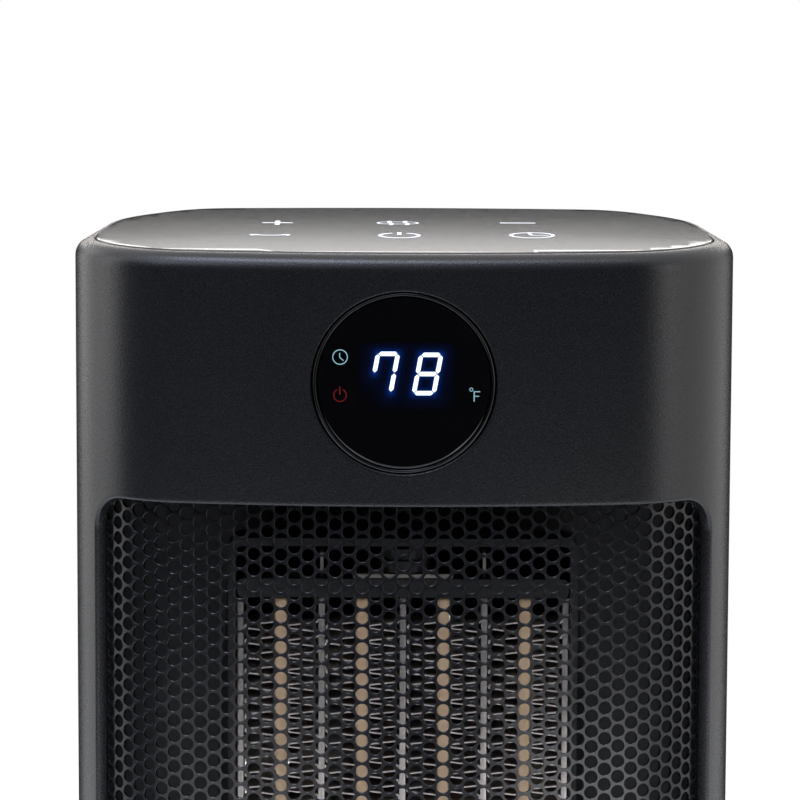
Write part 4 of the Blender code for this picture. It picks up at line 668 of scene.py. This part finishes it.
def punched_cell():
    """Face, rolled edge, wall and back of a six-sided piece of sheet round one hole."""
    bm = bmesh.new()
    rings = []
    for radius, depth in ((None, 0), (HOLE_RADIUS + HOLE_ROLL, 0), (HOLE_RADIUS, HOLE_ROLL),
                          (HOLE_RADIUS, SHEET_THICKNESS), (None, SHEET_THICKNESS)):
        ring = bmesh.ops.create_circle(bm, segments=HOLE_SIDES, radius=1)["verts"]
        for vert in ring:
            turn = (math.atan2(vert.co.y, vert.co.x) - math.pi / 2) % (math.pi / 3)
            vert.co *= radius or HOLE_PITCH / 2 / math.cos(turn - math.pi / 6)
            vert.co.z = -depth
        rings.append(ring)
    for near, far in zip(rings, rings[1:]):
        for place in range(HOLE_SIDES):
            bm.faces.new((near[place - 1], near[place], far[place], far[place - 1]))
    bmesh.ops.rotate(bm, verts=bm.verts, matrix=Matrix.Rotation(math.pi / 6, 3, "Z"))
    stand_up(bm, bm.verts, (0, SHEET_DEPTH, ROW_PHASE))
    cell = bpy.data.meshes.new("punched_cell")
    bm.to_mesh(cell)
    bm.free()
    return cell


# %% The three panels of the sheet
def make_outlet_sheet():
    cell = punched_cell()
    half_run = WINDOW_RUN / 2 + SHEET_MARGIN
    low, high = WINDOW_LOW - SHEET_MARGIN, WINDOW_HIGH + SHEET_MARGIN
    split = 12.5 * COLUMN_PITCH
    for name, start, end, solid in (("outlet_sheet_left", -half_run, -split, "grille_left"),
                                    ("outlet_sheet_middle", -split, split, "front_grille"),
                                    ("outlet_sheet_right", split, half_run, "grille_right")):
        sheet = bmesh.new()
        for column in range(math.floor(start / COLUMN_PITCH), math.ceil(end / COLUMN_PITCH) + 1):
            shift = HOLE_PITCH / 2 if column % 2 else 0
            for row in range(-3, math.ceil((high - low) / HOLE_PITCH) + 1):
                first = len(sheet.verts)
                sheet.from_mesh(cell)
                sheet.verts.ensure_lookup_table()
                bmesh.ops.translate(sheet, verts=sheet.verts[first:],
                                    vec=(column * COLUMN_PITCH, 0, -row * HOLE_PITCH - shift))
        bmesh.ops.remove_doubles(sheet, verts=sheet.verts, dist=0.001 * MM)
        for place, direction in (((end, 0, 0), (1, 0, 0)), ((start, 0, 0), (-1, 0, 0)),
                                 ((0, 0, high), (0, 0, 1)), ((0, 0, low), (0, 0, -1))):
            cut_through(sheet, place, direction, 0.001 * MM, clear_outer=True)
        for vert in sheet.verts:
            vert.co = wrap_point(vert.co, FRONT)
        finish_piece(name, sheet, black_sheet, "body", [solid])
    bpy.data.meshes.remove(cell)


make_outlet_sheet()

# %% [markdown]
# ## Touch panel
# The touch panel drops into the rim with a slit of a third of a millimetre all round.
# It is a little crowned, so that its front edge turns towards the viewer and shows
# a brighter part of the room than its middle does.

# %% Outlines of the plan, and the touch panel
PANEL_EDGE = 261.86 * MM              # height of its rounded edge, just proud of the rim
PANEL_TOP = 261.98 * MM
PANEL_ROUND = 0.5 * MM
PANEL_UNDER = 259.7 * MM
CROWN_BEND = 45 * MM                  # how far in the crown begins to bend down
CROWN_STEP = 5 * MM


def plan_loop(bm, inset, height):
    """One closed outline of the body, seen from above."""
    points = []
    for face, order in ((FRONT, 1), (REAR, -1)):
        _, bow_run, corner_run, _ = bow_numbers(face)
        runs = sorted(bend_runs(face, bow_run + corner_run + SLIT))[::order]
        points += [wrap_point(Vector((run, inset, height)), face) for run in runs]
    verts = [bm.verts.new(point) for point in points]
    return [bm.edges.new((verts[i - 1], verts[i])) for i in range(len(verts))]


def stacked_body(levels):
    """Closed form whose outline at each height is the plan, moved in by an inset."""
    bm = bmesh.new()
    loops = [plan_loop(bm, inset, height) for inset, height in levels]
    for low, high in zip(loops, loops[1:]):
        bmesh.ops.bridge_loops(bm, edges=low + high)
    for loop in (loops[0], loops[-1]):
        bmesh.ops.contextual_create(bm, geom=loop)
    return bm


def crown_height(x, y):
    """Height of the panel, which falls off very gently to its edges."""
    start = PANEL_INSET + PANEL_ROUND
    share = min(1, max(0, inset_at(x, y) - start) / CROWN_BEND)
    return PANEL_EDGE + (PANEL_TOP - PANEL_EDGE) * share * (2 - share)


def make_touch_plate():
    bm = stacked_body([(PANEL_INSET, PANEL_UNDER), *quarter(PANEL_INSET, PANEL_EDGE, PANEL_ROUND)])
    for direction, reach in (((0, 1, 0), 11), ((1, 0, 0), 17)):
        for i in range(-reach, reach):
            top = [face for face in bm.faces
                   if face.calc_center_median().z > PANEL_EDGE - 0.01 * MM]
            bmesh.ops.bisect_plane(
                bm, geom=top + list({e for f in top for e in f.edges} |
                                    {v for f in top for v in f.verts}),
                dist=0.05 * MM, plane_no=direction,
                plane_co=Vector(direction) * (i + 0.5) * CROWN_STEP)
    for vert in bm.verts:
        if vert.co.z > PANEL_EDGE - 0.4 * PANEL_ROUND:
            vert.co.z += crown_height(vert.co.x, vert.co.y) - PANEL_EDGE
    tuck_in(bm)
    return finish_piece("touch_plate", bm, panel_coat, "body", ["touch_panel"])


touch_plate = make_touch_plate()

# %% [markdown]
# ## Signs
# Signs are drawn flat with one pen: a stroke of even width along a line of points.
# The ones on the panel are then laid on its crown, a hair above it, as ink is.

# %% Pen for the signs, and the signs of the panel
INK_LIFT = 0.015 * MM


def pen(bm, width, points, closed=False):
    """A flat stroke of even width along points (x, y), all in millimetres."""
    count = len(points)
    line = [Vector(point) * MM for point in points]
    sides = []
    for i, middle in enumerate(line):
        before = line[i - 1] if closed or i else middle
        after = line[(i + 1) % count] if closed or i < count - 1 else middle
        along = (after - before).normalized()
        across = Vector((-along.y, along.x)) * width * MM / 2
        sides.append([bm.verts.new((*(middle + side * across), 0)) for side in (1, -1)])
    for i in range(count if closed else count - 1):
        first, second = sides[i], sides[(i + 1) % count]
        bm.faces.new((first[0], first[1], second[1], second[0]))


def bend(x, y, radius, start, end, steps=28):
    """Points of an arc; angles in degrees from the right, turning left."""
    angles = [math.radians(start + (end - start) * i / steps) for i in range(steps + 1)]
    return [(x + radius * math.cos(a), y + radius * math.sin(a)) for a in angles]


def ring(bm, width, x, y, radius):
    pen(bm, width, bend(x, y, radius, 0, 360)[:-1], closed=True)


def lay_on(bm, ground, lift):
    """Drop a flat drawing on a surface from above."""
    tree = BVHTree.FromObject(ground, bpy.context.evaluated_depsgraph_get())
    for vert in bm.verts:
        hit = tree.ray_cast(Vector((vert.co.x, vert.co.y, 1)), Vector((0, 0, -1)))[0]
        vert.co.z = hit.z + lift


def make_panel_signs():
    """Plus, minus, heat, swing, power and timer."""
    bm = bmesh.new()
    pen(bm, 1.1, [(-37.5, 12.9), (-29.5, 12.9)])                     # plus
    pen(bm, 1.3, [(-33.5, 8.5), (-33.5, 17.3)])
    pen(bm, 1.3, [(25.3, 14.2), (34.7, 14.2)])                       # minus
    pen(bm, 0.6, bend(1.3, 13.3, 2.3, -90, 90, 12) + bend(-4.7, 13.3, 2.3, 90, 270, 12),
        closed=True)                                                 # heat
    for x in (-3.65, 0.5):
        pen(bm, 1.0, [(x + 0.45 * math.sin(i * math.pi / 6), 8.9 + 8.8 * i / 12)
                      for i in range(13)])
    swing = bend(-34.8, -4.9, 9.8, 240, 300, 20)
    pen(bm, 0.9, swing)
    for (x, y), turn in ((swing[0], 1), (swing[-1], -1)):
        pen(bm, 0.7, [(x + turn * 1.9, y + 0.5), (x - turn * 0.2, y + 0.1),
                      (x + turn * 0.5, y - 1.9)])
    pen(bm, 0.9, bend(-1.25, -14.3, 5.1, 112, 428))                  # power
    pen(bm, 1.1, [(-1.3, -7.8), (-1.3, -12.8)])
    ring(bm, 0.9, 33.1, -12.9, 5.5)                                  # timer
    pen(bm, 0.9, [(32.4, -8.4), (33.0, -12.9)])
    pen(bm, 0.7, [(33.0, -12.9), (37.5, -12.9)])
    lay_on(bm, touch_plate, INK_LIFT)
    finish_piece("panel_signs", bm, white_ink, "body")


make_panel_signs()

# %% [markdown]
# ## Display
# A turned ring of polished plastic frames the round window.  Its front edge is a fine
# chamfer that catches the light as a thin bright line.  Behind the window two slanted
# seven-segment digits glow, and their blue light spreads a little in the dark plastic.

# %% Ring and window of the display
RING_PROFILE = [(23.0, -47.0), (23.0, -54.4), (22.93, -54.66), (22.76, -54.83), (22.55, -54.9),
                (22.36, -54.88), (22.2, -54.76), (22.1, -54.5), (22.1, -45.4), (27.5, -45.4),
                (27.5, -47.0)]
WINDOW_PROFILE = [(0, -54.9), (20.8, -54.9), (21.5, -54.88), (21.7, -54.8), (21.8, -54.6),
                  (21.8, -52.9), (0, -52.9)]
DISPLAY_FACE = -54.9 * MM


def turned_piece(profile, place, closed=True, steps=128):
    """Spin a profile of (radius, depth) in millimetres about an axis along Y."""
    bm = bmesh.new()
    verts = [bm.verts.new((radius * MM, depth * MM, 0)) for radius, depth in profile]
    edges = [bm.edges.new(pair) for pair in zip(verts, verts[1:])]
    if closed:
        edges.append(bm.edges.new((verts[-1], verts[0])))
    bmesh.ops.spin(bm, geom=verts + edges, cent=(0, 0, 0), axis=(0, 1, 0),
                   angle=2 * math.pi, steps=steps, use_merge=True)
    bmesh.ops.translate(bm, verts=bm.verts, vec=place)
    return bm


display_place = (0, 0, DISPLAY_HEIGHT)
finish_piece("display_ring", turned_piece(RING_PROFILE, display_place), gloss_abs, "body",
             ["display_bezel"], 50)
finish_piece("display_window", turned_piece(WINDOW_PROFILE, display_place, closed=False),
             window_acrylic, "body", ["display_lens"])

# %% Digits and signs of the display
DIGIT_WIDTH = 6.12 * MM
DIGIT_TALL = 10.87 * MM
DIGIT_SLANT = 0.184
SEGMENT = 1.12 * MM
SEGMENT_GAP = 0.13 * MM
LIT = {"7": "abcf", "8": "abcdefg"}
DIGITS = (("7", (-9.0 * MM, -2.73 * MM)), ("8", (1.85 * MM, -2.96 * MM)))
SIGN_LIFT = 0.03 * MM


def segment_ends():
    """Middle line of each of the seven segments, upright."""
    left, right = SEGMENT / 2, DIGIT_WIDTH - SEGMENT / 2
    low, high, middle = SEGMENT / 2, DIGIT_TALL - SEGMENT / 2, DIGIT_TALL / 2
    corner = {"a": ((left, high), (right, high)), "b": ((right, middle), (right, high)),
              "c": ((right, low), (right, middle)), "d": ((left, low), (right, low)),
              "e": ((left, low), (left, middle)), "f": ((left, middle), (left, high)),
              "g": ((left, middle), (right, middle))}
    return {key: (Vector(a), Vector(b)) for key, (a, b) in corner.items()}


def lit_segments():
    """Middle lines of the lit segments, placed and slanted."""
    lines = []
    for sign, (x, y) in DIGITS:
        for key in LIT[sign]:
            lines.append([Vector((x + p.x + DIGIT_SLANT * p.y, y + p.y))
                          for p in segment_ends()[key]])
    return lines


def on_display(bm, lift):
    """Stand a flat drawing up on the face of the display."""
    stand_up(bm, bm.verts, (0, DISPLAY_FACE - lift, DISPLAY_HEIGHT))


def make_digits():
    bm = bmesh.new()
    for start, end in lit_segments():
        along = (end - start).normalized()
        upright = abs(along.y) > 0.5
        across = Vector((1, 0)) if upright else Vector((DIGIT_SLANT, 1))
        first, last = start + along * SEGMENT_GAP, end - along * SEGMENT_GAP
        half = SEGMENT / 2
        inner = [point + sign * along * half for point, sign in ((first, 1), (last, -1))]
        outline = [first, inner[0] - across * half, inner[1] - across * half,
                   last, inner[1] + across * half, inner[0] + across * half]
        bm.faces.new([bm.verts.new((*point, 0)) for point in outline])
    on_display(bm, SIGN_LIFT)
    finish_piece("lit_digits", bm, digit_light, "body")


def make_display_signs():
    """A clock and a degree sign with its letter, and the power sign in red."""
    bm = bmesh.new()
    ring(bm, 0.25, -16.1, 6.7, 1.84)
    pen(bm, 0.25, [(-16.2, 7.75), (-16.2, 6.65), (-15.25, 5.8)])
    ring(bm, 0.2, 16.97, -1.46, 0.4)
    pen(bm, 0.28, [(17.69, -4.5), (17.69, -1.85)])
    pen(bm, 0.25, [(17.61, -1.98), (19.2, -1.98)])
    pen(bm, 0.25, [(17.71, -3.15), (18.95, -3.15)])
    on_display(bm, SIGN_LIFT)
    finish_piece("display_signs", bm, sign_light, "body")
    bm = bmesh.new()
    pen(bm, 0.27, bend(-16.1, -3.0, 1.6, 118, 422))
    pen(bm, 0.34, [(-16.14, -0.85), (-16.14, -2.9)])
    on_display(bm, SIGN_LIFT)
    finish_piece("power_sign", bm, red_light, "body")


make_digits()
make_display_signs()

# %% [markdown]
# The blue spread is a fine grid just over the window.  Each of its points keeps how
# near it lies to a lit segment, and the material turns that into light.

# %% Blue light round the digits
HALO = ((-12, 13.5), (-7.5, 11.0))    # reach of the blue light, in millimetres
HALO_STEP = 0.35 * MM
HALO_REACH = 1.7 * MM                 # distance at which the light is down to a third
HALO_FADE = 1.5 * MM                  # margin in which the grid fades out


def halo_material():
    material, tree, shader, _ = start_material("blue_spread", Roughness=0.05, IOR=1.49,
                                               Base_Color=srgb("030304"), Emission_Strength=1.0)
    near = add_node(tree, "Attribute", attribute_name="nearness")
    tint = add_node(tree, "ValToRGB", {"Fac": near.outputs["Fac"]})
    ramp = tint.color_ramp.elements
    ramp[0].color = srgb("000000")
    ramp[1].color = srgb("0a3f8e")
    for place, code in ((0.35, "00061e"), (0.7, "021a52")):
        ramp.new(place).color = srgb(code)
    tree.links.new(tint.outputs["Color"], shader.inputs["Emission Color"])
    return material


def distance_to(point, line):
    start, end = line
    share = (point - start).dot(end - start) / (end - start).length_squared
    return (point - start - (end - start) * min(1, max(0, share))).length


def make_halo():
    (left, right), (low, high) = HALO
    width, height = (right - left) * MM, (high - low) * MM
    bm = bmesh.new()
    bmesh.ops.create_grid(bm, x_segments=round(width / HALO_STEP),
                          y_segments=round(height / HALO_STEP), size=0.5)
    bmesh.ops.scale(bm, vec=(width, height, 1), verts=bm.verts)
    bmesh.ops.translate(bm, vec=((left + right) / 2 * MM, (low + high) / 2 * MM, 0),
                        verts=bm.verts)
    lines = lit_segments()
    flat = [vert.co.xy for vert in bm.verts]
    amounts = []
    for point in flat:
        distance = min(distance_to(point, line) for line in lines)
        edge = min(point.x - left * MM, right * MM - point.x, point.y - low * MM,
                   high * MM - point.y)
        amounts.append(math.exp(-distance / HALO_REACH) * min(1, edge / HALO_FADE))
    on_display(bm, SIGN_LIFT / 2)
    halo = finish_piece("digit_glow", bm, halo_material(), "body")
    nearness = halo.data.attributes.new("nearness", "FLOAT", "POINT")
    nearness.data.foreach_set("value", amounts)


make_halo()

# %% [markdown]
# ## Heating element
# Between the rails and the heating cores run strips of thin aluminium, folded to and
# fro, which carry the heat into the air.  Each strip is made as the fin roller makes
# it: one edge is led through the folds, and then gets the thickness of the foil.

# %% Heating element
ELEMENT_LOW = 62 * MM
ELEMENT_HIGH = 171 * MM
ELEMENT_FRONT = -38 * MM
ELEMENT_BACK = -26 * MM
RAIL_PITCH = 20.9 * MM
RAIL_PLACES = [i * RAIL_PITCH for i in (-2, -1, 0, 1, 2)]
CORE_PLACES = [(i + 0.5) * RAIL_PITCH for i in (-2, -1, 0, 1)]
RAIL_METAL = 1.6 * MM
CORE_METAL = 3.0 * MM
FOLD_PITCH = 3.9 * MM
FOIL = 0.34 * MM


def folded_strip(bm, left, right):
    """Foil led to and fro between two walls, from the foot to the top."""
    inner = 0.35 * MM
    count = int((ELEMENT_HIGH - ELEMENT_LOW - FOLD_PITCH) / FOLD_PITCH * 2)
    points = []
    for i in range(count):
        height = ELEMENT_LOW + FOLD_PITCH * (i + 1) / 2
        near, far = (left, right) if i % 2 else (right, left)
        side = math.copysign(inner, near - far)
        points += [(near - side, height - FOLD_PITCH / 7), (near, height),
                   (near - side, height + FOLD_PITCH / 7)]
    (x, height), *rest = points
    faces = sweep_line(bm, [(x, y, height) for y in (ELEMENT_FRONT, ELEMENT_BACK)], (0, 2), rest)
    bmesh.ops.solidify(bm, geom=faces, thickness=FOIL)


def bar(bm, low, high, edge=0.2 * MM, segments=2):
    """A bar between two corners, with rounded edges."""
    made = bmesh.ops.create_cube(bm, size=1)["verts"]
    low, high = Vector(low), Vector(high)
    bmesh.ops.scale(bm, vec=high - low, verts=made)
    bmesh.ops.translate(bm, vec=(low + high) / 2, verts=made)
    edges = list({e for vert in made for e in vert.link_edges})
    bmesh.ops.bevel(bm, geom=edges, offset=edge, segments=segments, profile=0.5,
                    affect="EDGES", material=-1)


def make_heating_element():
    for i, x in enumerate(RAIL_PLACES):
        bm = bmesh.new()
        half = RAIL_METAL / 2
        bar(bm, (x - half, ELEMENT_FRONT, ELEMENT_LOW), (x + half, ELEMENT_BACK, ELEMENT_HIGH))
        for core in CORE_PLACES:
            if abs(core - x) < RAIL_PITCH:
                side = math.copysign(1, core - x)
                ends = sorted((x + side * half, core - side * CORE_METAL / 2))
                folded_strip(bm, ends[0] + FOIL / 2, ends[1] - FOIL / 2)
        finish_piece(f"fin_pack_{i + 1}", bm, fin_aluminium, "body",
                     [f"ptc_rail_{i + 1}"])
    for i, x in enumerate(CORE_PLACES):
        bm = bmesh.new()
        half = CORE_METAL / 2
        bar(bm, (x - half, ELEMENT_FRONT, ELEMENT_LOW), (x + half, ELEMENT_BACK, ELEMENT_HIGH),
            0.7 * MM, 4)
        finish_piece(f"heating_core_{i + 1}", bm, tan_film, "body",
                     [f"ptc_core_{i + 1}"])


make_heating_element()

# %% [markdown]
# ## Base
# The base repeats the plan of the body, a little smaller, with a soft shoulder.

# %% Base
BASE_FOOT = [(5.5, 4), (5.5, 2), (3.3, 2), (3.05, 2.3), (4.8, 11)]  # (inset, height) in mm
BASE_TOP = 22 * MM
BASE_SHOULDER = 2.5 * MM
BASE_INSETS = (6.5 * MM, 12 * MM)     # of the shoulder, and of the opening for the pivot


def make_base_housing():
    foot = [(inset * MM, height * MM) for inset, height in BASE_FOOT]
    bm = stacked_body([*foot, *quarter(BASE_INSETS[0], BASE_TOP, BASE_SHOULDER, 6),
                       (BASE_INSETS[1], BASE_TOP)])
    finish_piece("base_housing", bm, charcoal_abs, "base", ["base_shell"])


make_base_housing()

# %% [markdown]
# ## Floor and light
# The heater stands on a pale floor that fades into a white room.  Soft boxes light it
# from above and from both sides, and black flags close to it keep its front and its
# back dark where they mirror the room.

# %% Floor and room
FADE_START = 0.2                      # metres from the middle, where the floor turns white
FADE_END = 0.7
FLOOR_RADIUS = 3


def white_room():
    """White for what is seen, and an even light of the same strength."""
    world = bpy.data.worlds.new("white_room")
    bpy.context.scene.world = world
    world.use_nodes = True
    tree = world.node_tree
    tree.nodes.clear()
    light = add_node(tree, "Background", {"Color": (1, 1, 1, 1), "Strength": 1.0})
    add_node(tree, "OutputWorld", {"Surface": light.outputs[0]})


def pale_floor():
    """A floor that keeps the shadow near the heater and fades to the white room."""
    bm = bmesh.new()
    bmesh.ops.create_circle(bm, cap_ends=True, segments=96, radius=FLOOR_RADIUS)
    material, tree, shader, place = start_material("floor_paper", Roughness=0.9,
                                                   Base_Color=srgb("f2f2f2"))
    rays = add_node(tree, "LightPath").outputs
    seen = add_node(tree, "Math", {0: rays["Is Camera Ray"], 1: rays["Is Glossy Ray"]},
                    operation="MAXIMUM")
    reach = add_node(tree, "VectorMath", {0: place}, operation="LENGTH")
    fade = add_node(tree, "MapRange", {"Value": reach.outputs["Value"], "From Min": FADE_START,
                                       "From Max": FADE_END}, interpolation_type="SMOOTHSTEP")
    amount = add_node(tree, "Math", {0: fade.outputs["Result"], 1: seen.outputs[0]},
                      operation="MULTIPLY")
    glow = add_node(tree, "Emission", {"Color": (1, 1, 1, 1), "Strength": 1.0})
    mixed = add_node(tree, "MixShader",
                     {0: amount.outputs[0], 1: shader.outputs[0], 2: glow.outputs[0]})
    tree.links.new(mixed.outputs[0], tree.nodes["Material Output"].inputs["Surface"])
    add_object("studio_floor", bm, material)


white_room()
pale_floor()

# %% Flags and soft boxes
def dark_flag(name, radius, start, end, high):
    """Black cloth on a round frame on the floor, from one angle to another."""
    start, end = math.radians(start), math.radians(end)
    bm = bmesh.new()
    line = [bm.verts.new((radius * math.sin(start), -radius * math.cos(start), z))
            for z in (0, high)]
    bmesh.ops.spin(bm, geom=line + [bm.edges.new(line)], cent=(0, 0, 0), axis=(0, 0, 1),
                   angle=end - start, steps=24, use_merge=False)
    flag = add_object(name, bm, coat(name + "_cloth", "030303", "060606", 2.5, 2.0, Roughness=1.0))
    flag.visible_camera = False
    flag.visible_shadow = False


def soft_box(name, place, aim, width, height, power, tint="ffffff", spread=180):
    """An area lamp that faces a point; a grid narrows its spread, in degrees."""
    lamp = bpy.data.lights.new(name, "AREA")
    lamp.shape = "RECTANGLE"
    lamp.size = width
    lamp.size_y = height
    lamp.energy = power
    lamp.color = srgb(tint)[:3]
    lamp.spread = math.radians(spread)
    made = bpy.data.objects.new(name, lamp)
    bpy.context.scene.collection.objects.link(made)
    made.location = place
    made.rotation_euler = (Vector(aim) - Vector(place)).to_track_quat("-Z", "Y").to_euler()
    made.visible_camera = False


dark_flag("front_left_flag", 0.5, -78, 0, 1.5)
dark_flag("front_right_flag", 0.5, 0, 51, 1.5)
dark_flag("rear_flag", 0.35, 130, 230, 0.307)
body_middle = (0, 0, 0.2)
soft_box("front_box", (-0.2, -0.5, 1.3), body_middle, 1.0, 0.6, 17, "dfe8ff")
soft_box("upper_left_box", (-0.6, -0.5, 1.15), body_middle, 0.5, 0.5, 12, "e6eeff")
soft_box("left_box", (-1.25, 0.1, 0.5), body_middle, 0.5, 1.0, 1.8)
soft_box("rear_left_box", (-0.95, 0.85, 0.5), body_middle, 0.5, 1.0, 1.1)
soft_box("rear_strip", (0, 1.2, 0.53), (0, 0, 0.262), 1.2, 0.1, 1.4, "fff6ee")
soft_box("low_right_box", (0.22, -0.33, 0.03), (0.1, -0.055, 0.06), 0.3, 0.08, 0.05, spread=75)
soft_box("low_left_box", (-0.2, -0.33, 0.03), (-0.1, -0.055, 0.06), 0.3, 0.08, 0.02, spread=75)
soft_box("right_box", (1.1, -0.65, 0.4), (0, 0, 0.15), 0.4, 0.8, 0.9)
print("lamps and flags:", 8, "and", 3)
